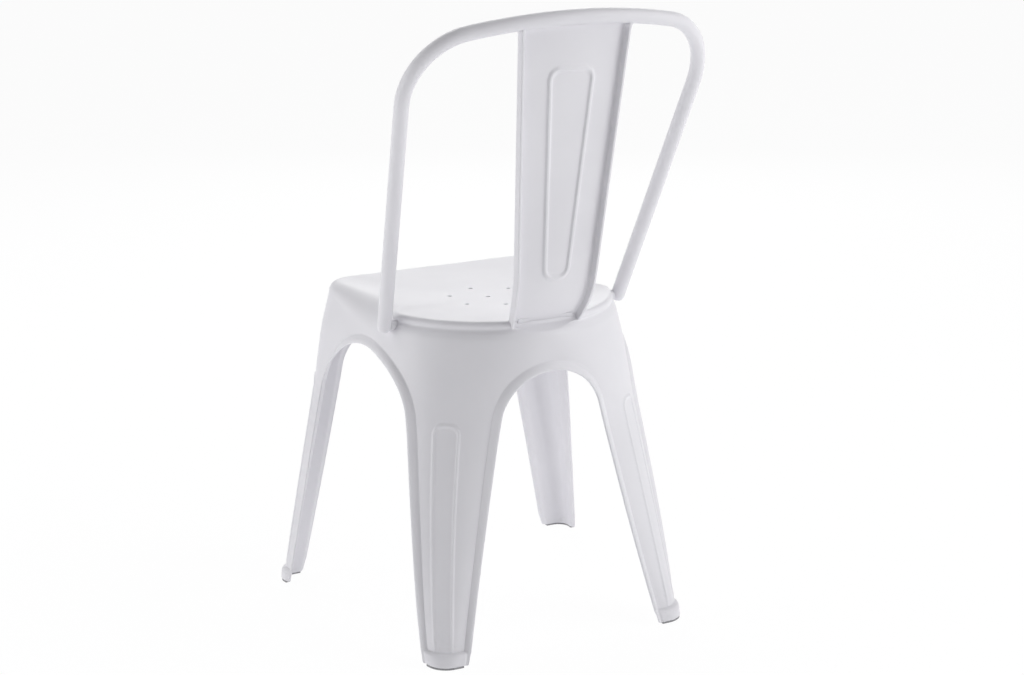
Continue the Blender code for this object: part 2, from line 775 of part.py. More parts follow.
def hoop_half_line():
    """Axis of half of the hoop, from its lower end to the middle of the top rail."""
    rail_z = RAIL_AXIS - HOOP_RAIL_RADIUS
    scale = math.hypot(1.0, HOOP_SPLAY)
    inward = Vector((-1.0 / scale, HOOP_SPLAY / scale))
    upward = Vector((HOOP_SPLAY / scale, 1.0 / scale))
    start = Vector((hoop_axis_x(SEAT_HEIGHT), SEAT_HEIGHT)) + inward * HOOP_BEND_RADIUS
    from_rail = start - Vector((0.0, rail_z))
    reach = HOOP_RAIL_RADIUS - HOOP_BEND_RADIUS
    half_b = from_rail.dot(upward)
    rise = -half_b + math.sqrt(half_b ** 2 - from_rail.dot(from_rail) + reach ** 2)
    centre = start + upward * rise
    first = math.atan2(-inward.y, -inward.x)
    last = math.atan2(centre.y - rail_z, centre.x)
    line = []
    spring = centre - inward * HOOP_BEND_RADIUS
    for i in range(HOOP_BAR_STEPS):
        z = blend(HOOP_FOOT + HOOP_RADIUS, spring.y, i / HOOP_BAR_STEPS)
        line.append((hoop_axis_x(z), z))
    for i in range(HOOP_BEND_STEPS + 1):
        angle = blend(first, last, i / HOOP_BEND_STEPS)
        line.append((centre.x + HOOP_BEND_RADIUS * math.cos(angle),
                     centre.y + HOOP_BEND_RADIUS * math.sin(angle)))
    for i in range(1, HOOP_RAIL_STEPS + 1):
        angle = blend(last, math.pi / 2.0, i / HOOP_RAIL_STEPS)
        line.append((HOOP_RAIL_RADIUS * math.cos(angle), rail_z + HOOP_RAIL_RADIUS * math.sin(angle)))
    return [hoop_point(x, z) for x, z in line]


def hoop_line():
    half = hoop_half_line()
    return half + [mirrored(point, RIGHT) for point in reversed(half[:-1])]


def hoop_bar(name, radius, rounded):
    """Round bar along the hoop's axis, with rounded ends where asked."""
    line = hoop_line()
    tangents = []
    for i in range(len(line)):
        tangents.append((line[min(i + 1, len(line) - 1)] - line[max(i - 1, 0)]).normalized())
    first = tangents[0].cross(Vector((0.0, 0.0, 1.0))).normalized()
    frames = []
    for along in tangents:
        first = (first - along * first.dot(along)).normalized()
        frames.append((first, along.cross(first)))
    rings = [circle_ring(place, a, b, radius, HOOP_SIDES) for place, (a, b) in zip(line, frames)]
    if rounded:
        for index, tip in ((0, -tangents[0]), (len(line) - 1, tangents[-1])):
            caps = []
            for degrees in (30.0, 55.0, 75.0):
                angle = math.radians(degrees)
                centre = line[index] + tip * (radius * math.sin(angle))
                caps.append(circle_ring(centre, *frames[index], radius * math.cos(angle), HOOP_SIDES))
            rings = caps[::-1] + rings if index == 0 else rings + caps
    bm = bmesh.new()
    loft(bm, rings)
    return make_object(name, bm)


def hoop_fix_place(side, drop):
    """Point on the hoop's axis, some way below the seat's height."""
    z = SEAT_HEIGHT - drop
    return mirrored(hoop_point(hoop_axis_x(z), z), side)


def splat_line():
    """Rear edge of the splat's flanges at x = 0, from the seat to the rail, as (y, z, lean angle) steps: a
    short slanting foot, a bend, then a straight run that ends a little behind the rail's axis."""
    low = math.atan(SPLAT_FOOT_SLOPE)
    line = [(SPLAT_REAR_AT_SEAT, SPLAT_FOOT, low)]
    centre_y = SPLAT_REAR_AT_SEAT + SPLAT_FOOT_SLOPE * SPLAT_FOOT_RISE - SPLAT_BEND_RADIUS * math.cos(low)
    centre_z = SPLAT_FOOT + SPLAT_FOOT_RISE + SPLAT_BEND_RADIUS * math.sin(low)
    top_z = splat_top_z()
    away_y = hoop_axis_y(SPLAT_TOP_HALF, top_z) + SPLAT_RAIL_SETBACK - centre_y
    away_z = top_z - centre_z
    high = math.acos(SPLAT_BEND_RADIUS / math.hypot(away_y, away_z)) - math.atan2(away_z, away_y)
    for i in range(SPLAT_BEND_STEPS + 1):
        angle = blend(low, high, i / SPLAT_BEND_STEPS)
        line.append((centre_y + SPLAT_BEND_RADIUS * math.cos(angle),
                     centre_z - SPLAT_BEND_RADIUS * math.sin(angle), angle))
    bend_y, bend_z, _ = line[-1]
    for i in range(1, SPLAT_RUN_STEPS + 1):
        z = blend(bend_z, top_z, i / SPLAT_RUN_STEPS)
        line.append((bend_y + math.tan(high) * (z - bend_z), z, high))
    return line


def splat_top_z():
    """Height where the splat stops: the rail's axis over the splat's edges."""
    drop = HOOP_RAIL_RADIUS - math.sqrt(HOOP_RAIL_RADIUS ** 2 - SPLAT_TOP_HALF ** 2)
    return RAIL_AXIS - drop


def splat_half(z):
    """Half width of the splat: it narrows from the rail to a neck, and rounds in below that."""
    neck_z = SEAT_HEIGHT + SPLAT_NECK_RISE
    if z >= neck_z:
        return blend(SPLAT_NECK_HALF, SPLAT_TOP_HALF, (z - neck_z) / (splat_top_z() - neck_z))
    share = (neck_z - z) / (SPLAT_NECK_RISE + SPLAT_SEAT_LEDGE)
    return blend(SPLAT_NECK_HALF, SPLAT_FOOT_HALF, share ** 2)


def splat_bow(x, half):
    """How far the bowed plate stands back at x, from its edges."""
    return SPLAT_BOW * (1.0 - (x / half) ** 2)


def splat_section(half, grow):
    """Channel section as (x, depth) points, depth measured to the rear from the flange's front corner."""
    outer = half + grow
    inner = half - SPLAT_FLANGE - grow
    edge = SPLAT_EDGE_ROUND
    front = []
    rear = []
    for i in range(SPLAT_WIDTH_STEPS + 1):
        share = 2.0 * i / SPLAT_WIDTH_STEPS - 1.0
        front.append((share * (outer - edge), splat_bow(share * (half - edge), half) - grow))
        rear.append((-share * inner, splat_bow(share * inner, half) + SPLAT_PLATE + grow))
    corner = edge * (1.0 - math.sqrt(0.5))
    right = [(outer - corner, corner - grow), (outer, edge - grow), (outer, SPLAT_DEPTH + grow),
             (inner, SPLAT_DEPTH + grow)]
    left = [(-x, depth) for x, depth in reversed(right)]
    return front + right + rear + left


def splat_ring(y, z, angle, half, grow):
    """Section of the splat in space: rear flange edge at (y, z), leaning back by an angle."""
    back = Vector((0.0, math.cos(angle), -math.sin(angle)))
    corner = Vector((0.0, y, z)) - back * SPLAT_DEPTH
    return [corner + Vector((x, 0.0, 0.0)) + back * depth for x, depth in splat_section(half, grow)]


def splat_body(name, grow):
    """Channel panel from the seat ledge up to the middle of the rail."""
    bm = bmesh.new()
    loft(bm, [splat_ring(y, z, angle, splat_half(z), grow) for y, z, angle in splat_line()])
    return make_object(name, bm)


def tongue_frame(at_top):
    """Middle of the plate at one end of the splat, and the direction in which its tongue runs."""
    y, z, angle = splat_line()[-1 if at_top else 0]
    back = Vector((0.0, math.cos(angle), -math.sin(angle)))
    middle = Vector((0.0, y, z)) - back * (SPLAT_DEPTH - SPLAT_BOW - SPLAT_PLATE / 2.0)
    up = Vector((0.0, math.sin(angle), math.cos(angle)))
    return middle, back, up if at_top else -up


def tongue(name, at_top, length, root, grow):
    """Flat tongue in line with the plate, from a root inside the splat to its free end."""
    middle, back, away = tongue_frame(at_top)
    bm = bmesh.new()
    depth = SPLAT_PLATE / 2.0 - SPLAT_BOW / 8.0 + grow
    half = TONGUE_HALF + grow
    rings = []
    for run in (-root, length + grow):
        centre = middle + away * run
        rings.append([centre + Vector((a * half, 0.0, 0.0)) + back * (b * depth)
                      for a, b in ((-1, -1), (1, -1), (1, 1), (-1, 1))])
    loft(bm, rings)
    return make_object(name, bm)


def rail_tongue(name, grow):
    """Tongue on the splat's top edge, from just below the rail to inside it."""
    rail_bottom = RAIL_AXIS - HOOP_RADIUS
    length = rail_bottom + TONGUE_RISE - splat_top_z()
    return tongue(name, True, length, splat_top_z() - rail_bottom + TONGUE_ROOT, grow)


def splat_loop():
    """Raised closed loop on the rear of the plate."""
    top_z = RAIL_AXIS - LOOP_TOP_BELOW_RAIL
    bottom_z = SEAT_HEIGHT + LOOP_BOTTOM_RISE
    corners = [Vector((0.0, bottom_z)), Vector((LOOP_BOTTOM_HALF, bottom_z)), Vector((LOOP_TOP_HALF, top_z)),
               Vector((0.0, top_z))]
    half = rounded_line(corners, LOOP_CORNER)
    full = half + [Vector((-point.x, point.y)) for point in reversed(half[1:-1])]
    bend_y, bend_z, angle = splat_line()[SPLAT_BEND_STEPS + 1]
    back = Vector((0.0, math.cos(angle), -math.sin(angle)))
    places = []
    for x, z in full:
        y = bend_y + math.tan(angle) * (z - bend_z)
        depth = splat_bow(x, splat_half(z)) + SPLAT_PLATE
        places.append(Vector((x, y, z)) - back * (SPLAT_DEPTH - depth))
    bm = bmesh.new()
    rings = []
    for i, place in enumerate(places):
        along = places[(i + 1) % len(places)] - places[i - 1]
        across = along.cross(back).normalized()
        rings.append(bead_section(place, across, back, LOOP_WIDTH, LOOP_HEIGHT, SPLAT_PLATE / 2.0))
    loft(bm, rings, closed=True)
    return make_object("splat_loop", bm)


def splat_screw_place(side):
    """Where a splat screw's axis crosses the middle of the lower tongue."""
    middle, _, away = tongue_frame(False)
    z = SEAT_HEIGHT - SPLAT_SCREW_DROP
    place = middle + away * ((z - middle.z) / away.z)
    return Vector((side * SPLAT_SCREW_SPACING / 2.0, place.y, z))


def splat_boss_front():
    return SEAT_REAR_DEPTH - SPLAT_BOSS_DEPTH


def splat_boss(tree):
    """Thick block inside the rear rim that the splat stands in; its rear follows the curved wall."""
    rim = Quarter(BAND_BOTTOM, REAR)
    low = SEAT_HEIGHT - SPLAT_BOSS_DROP
    front = splat_boss_front()
    rings = []
    for i in range(-SPLAT_BOSS_STEPS, SPLAT_BOSS_STEPS + 1):
        x = SPLAT_BOSS_HALF * i / SPLAT_BOSS_STEPS
        rear = rim.at(rim.run_at_x(abs(x))).y - WALL / 2.0
        shoulder = rear - RIM_ROUND_REAR
        section = [(front, low), (rear, low), (rear, BAND_BOTTOM),
                   (shoulder, top_of(tree, x, shoulder) - WALL / 2.0),
                   (front, top_of(tree, x, front) - WALL / 2.0)]
        rings.append([Vector((x, y, z)) for y, z in section])
    bm = bmesh.new()
    loft(bm, rings)
    return make_object("splat_boss", bm)


def build_shell(material):
    """Seat, apron and legs as one moulding."""
    bm, proud = outer_skin()
    thicken(bm, proud)
    tree = BVHTree.FromBMesh(bm)
    shell = make_object("seat_shell", bm, material)
    combine(shell, leg_beads(), "UNION")
    add_ribs(shell, tree)
    for side in (LEFT, RIGHT):
        combine(shell, stacking_web(side, FRONT, FRONT_WEB_INSET - SEAT_FRONT_DEPTH, tree), "UNION")
        combine(shell, stacking_web(side, REAR, SEAT_REAR_DEPTH - REAR_WEB_INSET, tree), "UNION")
        add_hoop_seat(shell, side)
    combine(shell, hoop_bar("hoop_clearance", HOOP_RADIUS + FIT_GAP, True), "DIFFERENCE")
    combine(shell, splat_boss(tree), "UNION")
    combine(shell, splat_body("splat_clearance", FIT_GAP), "DIFFERENCE")
    combine(shell, tongue("tongue_slot", False, TONGUE_DROP, SPLAT_SEAT_LEDGE, FIT_GAP), "DIFFERENCE")
    cut_screw_holes(shell)
    cut_drain_holes(shell)
    return shell


def add_hoop_seat(shell, side):
    """Lug that meets the hoop above the rim, and the boss behind it that takes the hoop's screw."""
    along = Vector((side, 0.0, 0.0))
    for name, drop, radius, length in (
            ("hoop_lug", HOOP_LUG_DROP, HOOP_LUG_RADIUS, HOOP_LUG_LENGTH),
            ("hoop_boss", HOOP_SCREW_DROP, HOOP_BOSS_RADIUS, HOOP_BOSS_LENGTH)):
        place = hoop_fix_place(side, drop)
        combine(shell, cylinder(name, place - along * length, place, radius, BOSS_SIDES), "UNION")


def cut_screw_holes(shell):
    """Clearance holes for the hoop and splat screws."""
    for side in (LEFT, RIGHT):
        along = Vector((side, 0.0, 0.0))
        place = hoop_fix_place(side, HOOP_SCREW_DROP)
        start = place - along * (HOOP_BOSS_LENGTH + WALL)
        combine(shell, cylinder("hole", start, place, HOOP_SCREW_RADIUS + FIT_GAP, SCREW_SIDES), "DIFFERENCE")
        place = splat_screw_place(side)
        start = Vector((place.x, splat_boss_front() - WALL, place.z))
        end = Vector((place.x, place.y + SPLAT_PLATE, place.z))
        combine(shell, cylinder("hole", start, end, SPLAT_SCREW_RADIUS + FIT_GAP, SCREW_SIDES), "DIFFERENCE")


def cut_drain_holes(shell):
    """One drain hole in the middle of the seat and six around it."""
    places = [(0.0, 0.0)]
    for i in range(6):
        angle = math.radians(90.0 + 60.0 * i)
        places.append((DRAIN_RING_RADIUS * math.cos(angle), DRAIN_RING_RADIUS * math.sin(angle)))
    for x, y in places:
        low = Vector((x, y, SEAT_HEIGHT - SEAT_DISH - 2.0 * WALL))
        high = Vector((x, y, SEAT_HEIGHT + WALL))
        combine(shell, cylinder("drain", low, high, DRAIN_HOLE_RADIUS, SCREW_SIDES), "DIFFERENCE")


def build_hoop(material):
    """Bent bar with blind screw holes in its ends and a groove for the splat under the rail."""
    hoop = hoop_bar("back_hoop", HOOP_RADIUS, True)
    hoop.data.materials.append(material)
    for side in (LEFT, RIGHT):
        place = hoop_fix_place(side, HOOP_SCREW_DROP)
        along = Vector((side, 0.0, 0.0))
        hole = cylinder("blind_hole", place - along * 2.0 * HOOP_RADIUS,
                        place + along * (HOOP_SCREW_BITE + FIT_GAP), HOOP_SCREW_RADIUS + FIT_GAP, SCREW_SIDES)
        combine(hoop, hole, "DIFFERENCE")
    combine(hoop, rail_tongue("rail_groove", FIT_GAP), "DIFFERENCE")
    return hoop


def build_splat(material):
    """Channel panel with its loop bead, top and bottom tongues and a saddle under the rail."""
    splat = splat_body("back_splat", 0.0)
    splat.data.materials.append(material)
    combine(splat, splat_loop(), "UNION")
    combine(splat, hoop_bar("rail_clearance", HOOP_RADIUS + FIT_GAP, False), "DIFFERENCE")
    combine(splat, rail_tongue("top_tongue", 0.0), "UNION")
    combine(splat, tongue("foot_tongue", False, TONGUE_DROP, SPLAT_SEAT_LEDGE, 0.0), "UNION")
    for side in (LEFT, RIGHT):
        place = splat_screw_place(side)
        reach = Vector((0.0, 2.0 * SPLAT_PLATE, 0.0))
        hole = cylinder("tongue_hole", place - reach, place + reach, SPLAT_SCREW_RADIUS + FIT_GAP, SCREW_SIDES)
        combine(splat, hole, "DIFFERENCE")
    return splat


def screw(name, head_seat, along, length, radius, head_radius, head_height, material):
    """Pan-head screw: a domed head behind its seat and a plain shank ahead of it."""
    first = along.orthogonal().normalized()
    second = along.cross(first)
    profile = [(-head_height, 0.55 * head_radius), (-0.7 * head_height, 0.88 * head_radius),
               (-0.3 * head_height, head_radius), (0.0, head_radius), (0.0, radius),
               (length - radius, radius), (length, 0.5 * radius)]
    bm = bmesh.new()
    loft(bm, [circle_ring(head_seat + along * run, first, second, size, SCREW_SIDES) for run, size in profile])
    return make_object(name, bm, material)


def washer(name, centre, along, material):
    """Flat ring with its thickness along the screw."""
    first = along.orthogonal().normalized()
    second = along.cross(first)
    half = along * (WASHER_THICKNESS / 2.0)
    hole = HOOP_SCREW_RADIUS + FIT_GAP
    bm = bmesh.new()
    rings = [(centre - half, hole), (centre - half, WASHER_RADIUS), (centre + half, WASHER_RADIUS),
             (centre + half, hole)]
    loft(bm, [circle_ring(place, first, second, size, WASHER_SIDES) for place, size in rings], closed=True)
    return make_object(name, bm, material)


def build_hoop_fixings(material):
    """Screw and washer at each lower end of the hoop."""
    for side, word in ((LEFT, "left"), (RIGHT, "right")):
        along = Vector((side, 0.0, 0.0))
        place = hoop_fix_place(side, HOOP_SCREW_DROP)
        boss_face = place - along * HOOP_BOSS_LENGTH
        middle = boss_face - along * (FIT_GAP + WASHER_THICKNESS / 2.0)
        washer("hoop_washer_" + word, middle, along, material)
        head_seat = middle - along * (WASHER_THICKNESS / 2.0 + FIT_GAP)
        length = HOOP_BOSS_LENGTH + HOOP_SCREW_BITE + WASHER_THICKNESS + FIT_GAP
        screw("hoop_screw_" + word, head_seat, along, length, HOOP_SCREW_RADIUS, HOOP_SCREW_HEAD_RADIUS,
              HOOP_SCREW_HEAD_HEIGHT, material)


def build_splat_screws(material):
    """Two screws from under the seat into the splat's tongue."""
    along = Vector((0.0, 1.0, 0.0))
    for side, word in ((LEFT, "left"), (RIGHT, "right")):
        place = splat_screw_place(side)
        head_seat = Vector((place.x, splat_boss_front() - FIT_GAP, place.z))
        length = place.y + SPLAT_PLATE - SPLAT_SCREW_BITE - head_seat.y
        screw("splat_screw_" + word, head_seat, along, length, SPLAT_SCREW_RADIUS, SPLAT_SCREW_HEAD_RADIUS,
              SPLAT_SCREW_HEAD_HEIGHT, material)


def foot_pad(name, end, side, material):
    """Thin strip under the edge of a leg channel."""
    end_crease, _ = end_arch(end)
    side_crease, _ = side_arch(end)
    a = end_crease[-1]
    c = side_crease[-1]
    wall = wall_row(end, end_run(a[0], a[1], end), a[1], c[0], c[1])
    quarter = Quarter(FOOT_BOTTOM, end)
    rings = []
    for j, point in enumerate(wall):
        run = quarter.run_at_x(point.x) if j < HALF_COLUMNS else quarter.run_at_y(point.y)
        outward = quarter.outward(run)
        outer = point + outward * (TOE_FOOT_SHARE * TOE_PROUD - PAD_INSET)
        inner = point - outward * (WALL - PAD_INSET)
        section = [(outer, 0.0), (outer, PAD_THICKNESS), (inner, PAD_THICKNESS), (inner, 0.0)]
        rings.append([Vector((side * place.x, place.y, z)) for place, z in section])
    bm = bmesh.new()
    loft(bm, rings)
    return make_object(name, bm, material)


def build_pads(material):
    for end, end_word in ((FRONT, "front"), (REAR, "rear")):
        for side, side_word in ((LEFT, "left"), (RIGHT, "right")):
            foot_pad("foot_pad_" + end_word + "_" + side_word, end, side, material)


def centre_on_floor():
    """Move the chair so that the middle of its footprint box is over the origin."""
    pieces = list(bpy.context.scene.objects)
    ys = [vert.co.y for piece in pieces for vert in piece.data.vertices]
    shift = -(min(ys) + max(ys)) / 2.0
    for piece in pieces:
        for vert in piece.data.vertices:
            vert.co.y += shift


def build_chair():
    for old in list(bpy.data.objects):
        bpy.data.objects.remove(old)
    white = make_material("white_plastic", (0.82, 0.82, 0.84), 0.42, 0.0)
    steel = make_material("zinc_plated_steel", (0.62, 0.63, 0.65), 0.3, 1.0)
    grey = make_material("grey_pad", (0.16, 0.16, 0.17), 0.7, 0.0)
    build_shell(white)
    build_hoop(white)
    build_splat(white)
    build_hoop_fixings(steel)
    build_splat_screws(steel)
    build_pads(grey)
    centre_on_floor()


build_chair()
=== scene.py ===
import math

import bmesh
import bpy
from mathutils import Matrix, Vector
from mathutils.bvhtree import BVHTree


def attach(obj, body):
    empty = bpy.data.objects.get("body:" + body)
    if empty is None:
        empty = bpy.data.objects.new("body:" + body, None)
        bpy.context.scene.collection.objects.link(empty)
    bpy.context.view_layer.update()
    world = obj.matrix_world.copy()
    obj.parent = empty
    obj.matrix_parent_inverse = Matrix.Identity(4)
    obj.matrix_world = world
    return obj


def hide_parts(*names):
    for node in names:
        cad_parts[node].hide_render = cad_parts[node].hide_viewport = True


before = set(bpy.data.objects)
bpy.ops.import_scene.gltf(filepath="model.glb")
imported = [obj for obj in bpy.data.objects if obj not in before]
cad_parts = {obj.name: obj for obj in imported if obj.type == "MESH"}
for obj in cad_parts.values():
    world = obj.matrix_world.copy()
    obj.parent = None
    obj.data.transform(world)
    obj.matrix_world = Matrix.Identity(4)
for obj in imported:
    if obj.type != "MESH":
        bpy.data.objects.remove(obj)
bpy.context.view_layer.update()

# Seat and leg shell
# One injection moulding of white polypropylene: dished seat, rolled rim, apron and four channel legs with flared
# lips, toe caps and raised corner beads. Ribs, stacking webs and screw bosses are moulded on its underside.
SEAT_MIDDLE_Y = -0.0208155
SEAT_HEIGHT = 0.441
SEAT_DISH = 0.007
SEAT_DISH_POWER = 0.85
SEAT_DISH_SOFT = 0.06
WALL = 0.0032
RIM_ROUND_FRONT = 0.013
RIM_ROUND_SIDE = 0.038
RIM_ROUND_REAR = 0.0062
RIM_CRISP_Y = 0.055
RIM_ROLLED_Y = 0.012
RIM_BAND = 0.001
BAND_BOTTOM = SEAT_HEIGHT - RIM_ROUND_FRONT - RIM_BAND
SEAT_REAR_HALF_WIDTH = 0.1715
SEAT_REAR_DEPTH = 0.171
SEAT_REAR_CORNER = 0.169
SEAT_FRONT_HALF_WIDTH = 0.1675
SEAT_FRONT_DEPTH = 0.191
SEAT_FRONT_CORNER = 0.042
SEAT_SIDE_MIDDLE = -0.003
APRON_STEP_REAR = 0.006
APRON_STEP_FRONT = 0.003
APRON_STEP_REAR_HEIGHT = 0.017
APRON_GROOVE = 0.0019
APRON_GROOVE_HEIGHT = 0.0085
APRON_STEP_FRONT_HEIGHT = 0.05
APRON_FADE_DROP = 0.161
APRON_UPPER_ROWS = (0.0008, 0.0016, 0.0024, 0.0032, 0.004, 0.005, 0.0062, 0.0076, 0.0094, 0.0115, 0.014, 0.017)
APRON_LEAST_SHARE = 0.1
APRON_LOWER_ROWS = (0.2, 0.4, 0.6, 0.8, 0.96)
FOOT_BOTTOM = 0.0025
FOOT_REAR_HALF_WIDTH = 0.1855
FOOT_REAR_DEPTH = 0.2128
FOOT_REAR_CORNER = 0.024
FOOT_FRONT_HALF_WIDTH = 0.2393
FOOT_FRONT_DEPTH = 0.2085
FOOT_FRONT_CORNER = 0.02
FOOT_SIDE_MIDDLE = -0.005
REAR_CORNER_TAPER_POWER = 1.05
FRONT_CORNER_TAPER_POWER = 2.0
FRONT_WIDTH_TAPER_POWER = 1.1
DEPTH_FLARE_POWER = 1.9
REAR_ARCH = (0.0675, 0.0745, 0.0745, 0.1452)
SIDE_ARCH_REAR = (0.054, 0.1038, 0.1, 0.1835)
SIDE_ARCH_FRONT = (0.054, 0.128, 0.105, 0.168)
FRONT_ARCH = (0.059, 0.135, 0.085, 0.1985)
LIP_WIDTH_TOP = 0.0115
LIP_WIDTH_FOOT = 0.008
LIP_FLARE = 0.006
LIP_CURL = -0.8
LIP_SHARES = (0.1, 0.28, 0.46, 0.64, 0.82, 1.0)
LIP_EDGE_ROUND = 0.0012
LIP_EDGE_STEPS = 5
LIP_FOOT_ROUND = 0.004
FRONT_SIDE_LIP_FLARE_FOOT = 0.003
FRONT_SIDE_LIP_FLARE_MOST = 0.009
FRONT_SIDE_LIP_MOST_Z = 0.3
FRONT_SIDE_LIP_FADE = 0.085
CREASE_SUPPORT = 0.0009
CREASE_SUPPORT_SHARE = 0.4
TOE_PROFILE = ((0.0205, 0.0), (0.0198, 0.0012), (0.0192, 0.0026), (0.0184, 0.004), (0.017, 0.0049),
               (0.015, 0.0054), (0.012, 0.0055), (0.007, 0.0052), (0.004, 0.0049), (0.003, 0.0044),
               (FOOT_BOTTOM, 0.0036))
BEAD_WIDTH = 0.006
BEAD_HEIGHT = 0.0013
BEAD_TOP = SEAT_HEIGHT - 0.133
BEAD_TOP_HALF = 0.017
BEAD_FOOT_HALF = 0.0115
BEAD_CORNER = 0.012
BEAD_CLEAR = 0.0015
BEAD_FADE = 0.004
BEAD_SHOULDER = 0.36
BEAD_SHIFT_TOP = 0.0062
BEAD_SHIFT_FOOT = 0.0018
LEG_ROWS_TOP = 0.385
LEG_ROWS_FADE = 0.06
BEAD_TOP_ROWS = 14
BEAD_TOP_ROWS_DROP = 0.0165
BEAD_RUN_ROWS = 26
PLAIN_COLUMNS = 12
BEAD_COLUMNS = 8
MIDDLE_COLUMNS = 5
HALF_COLUMNS = PLAIN_COLUMNS + BEAD_COLUMNS + MIDDLE_COLUMNS
COLUMNS = 2 * HALF_COLUMNS
LIP_COLUMNS = len(LIP_SHARES)
ROUND_ROWS = 9
ARCH_ROWS = 60
ARCH_FIRST_STEP = 0.08
SEAT_RINGS = 32
SEAT_LAST_RING = 0.012
REAR, FRONT, LEFT, RIGHT = 1, -1, 1, -1
MERGE_DISTANCE = 0.00001
NO_CAP = Vector((0.0, 0.0, 0.0))
SMALL_RUN = 0.0005
SMALL_RISE = 0.002


def blend(start, end, share):
    return start + (end - start) * share


def ease(share):
    """Soft start and stop between 0 and 1."""
    share = min(1.0, max(0.0, share))
    return share * share * (3.0 - 2.0 * share)


def apron_step(z, end):
    """How far the apron swells out below the rim, under a shallow groove at the rear, before it fades into the
    legs."""
    start, most, height, groove = BAND_BOTTOM, APRON_STEP_FRONT, APRON_STEP_FRONT_HEIGHT, 0.0
    if end == REAR:
        start, most, height = SEAT_HEIGHT - RIM_ROUND_REAR, APRON_STEP_REAR, APRON_STEP_REAR_HEIGHT
        share = min(1.0, max(0.0, (start - z) / APRON_GROOVE_HEIGHT))
        groove = APRON_GROOVE * (4.0 * share * (1.0 - share)) ** 2
    gone = SEAT_HEIGHT - APRON_FADE_DROP
    return most * ease((start - z) / height) * ease((z - gone) / (start - height - gone)) - groove


def plan_corner(z, end):
    """Sharp corner of the plan outline and its fillet radius, at one height."""
    share = min(z, BAND_BOTTOM) / BAND_BOTTOM
    depth_share = 1.0 - (1.0 - share) ** DEPTH_FLARE_POWER
    swell = apron_step(z, end)
    if end == REAR:
        x = blend(FOOT_REAR_HALF_WIDTH, SEAT_REAR_HALF_WIDTH, share)
        y = blend(FOOT_REAR_DEPTH, SEAT_REAR_DEPTH, depth_share)
        radius = blend(FOOT_REAR_CORNER, SEAT_REAR_CORNER, share ** REAR_CORNER_TAPER_POWER)
    else:
        x = blend(FOOT_FRONT_HALF_WIDTH, SEAT_FRONT_HALF_WIDTH, share ** FRONT_WIDTH_TAPER_POWER)
        y = blend(FOOT_FRONT_DEPTH, SEAT_FRONT_DEPTH, depth_share)
        radius = blend(FOOT_FRONT_CORNER, SEAT_FRONT_CORNER, share ** FRONT_CORNER_TAPER_POWER)
    return Vector((x + swell, end * (y + swell))), radius + swell


class Quarter:
    """Plan outline of one quarter of the shell at one height, from the middle of the rear or front wall, round
    the corner, to the middle of the side."""

    def __init__(self, z, end):
        self.z = z
        self.end = end
        self.corner, radius = plan_corner(z, end)
        other, _ = plan_corner(z, -end)
        self.along_side = (other - self.corner).normalized()
        self.turn = math.acos(self.along_side.x)
        self.tangent = min(radius * math.tan(self.turn / 2.0), self.corner.x)
        self.radius = self.tangent / math.tan(self.turn / 2.0)
        self.straight = self.corner.x - self.tangent
        self.arc = self.radius * self.turn
        self.side_middle = blend(FOOT_SIDE_MIDDLE, SEAT_SIDE_MIDDLE, min(z, BAND_BOTTOM) / BAND_BOTTOM)
        side_length = (self.side_middle - self.corner.y) / self.along_side.y
        self.length = self.straight + self.arc + side_length - self.tangent
        self.corner_middle = self.straight + self.arc / 2.0

    def at(self, run):
        if run <= self.straight:
            return Vector((run, self.corner.y, self.z))
        if run <= self.straight + self.arc:
            angle = (run - self.straight) / self.radius
            x = self.straight + self.radius * math.sin(angle)
            y = self.corner.y - self.end * self.radius * (1.0 - math.cos(angle))
            return Vector((x, y, self.z))
        point = self.corner + self.along_side * (self.tangent + run - self.straight - self.arc)
        return Vector((point.x, point.y, self.z))

    def run_at_x(self, x):
        if x <= self.straight:
            return x
        return self.straight + self.radius * math.asin(min(1.0, (x - self.straight) / self.radius))

    def run_at_y(self, y):
        fall = self.end * (self.corner.y - y)
        if fall <= self.radius * (1.0 - math.cos(self.turn)):
            return self.straight + self.radius * math.acos(1.0 - max(0.0, fall) / self.radius)
        return self.straight + self.arc + (y - self.corner.y) / self.along_side.y - self.tangent

    def outward(self, run):
        along = (self.at(run + SMALL_RUN) - self.at(max(0.0, run - SMALL_RUN))).normalized()
        return Vector((self.end * -along.y, self.end * along.x, 0.0))


def wall_normal(z, end, run):
    """Unit normal of the sloping outer wall."""
    here = Quarter(z, end)
    level = here.outward(run)
    above = Quarter(z + SMALL_RISE, end).at(run) - here.at(run)
    normal = Vector((-level.y, level.x, 0.0)).cross(above).normalized()
    return normal if normal.dot(level) > 0.0 else -normal


def leg_heights(spring_z):
    """Heights of the rows below an arch: close together round the top of the bead and at the toe cap."""
    low, toe = BEAD_TOP - BEAD_TOP_ROWS_DROP, TOE_PROFILE[0][0]
    heights = [blend(spring_z, low, (i + 1) / BEAD_TOP_ROWS) for i in range(BEAD_TOP_ROWS)]
    heights += [blend(low, toe, (i + 1) / BEAD_RUN_ROWS) for i in range(BEAD_RUN_ROWS)]
    return heights + [z for z, _ in TOE_PROFILE[1:]]


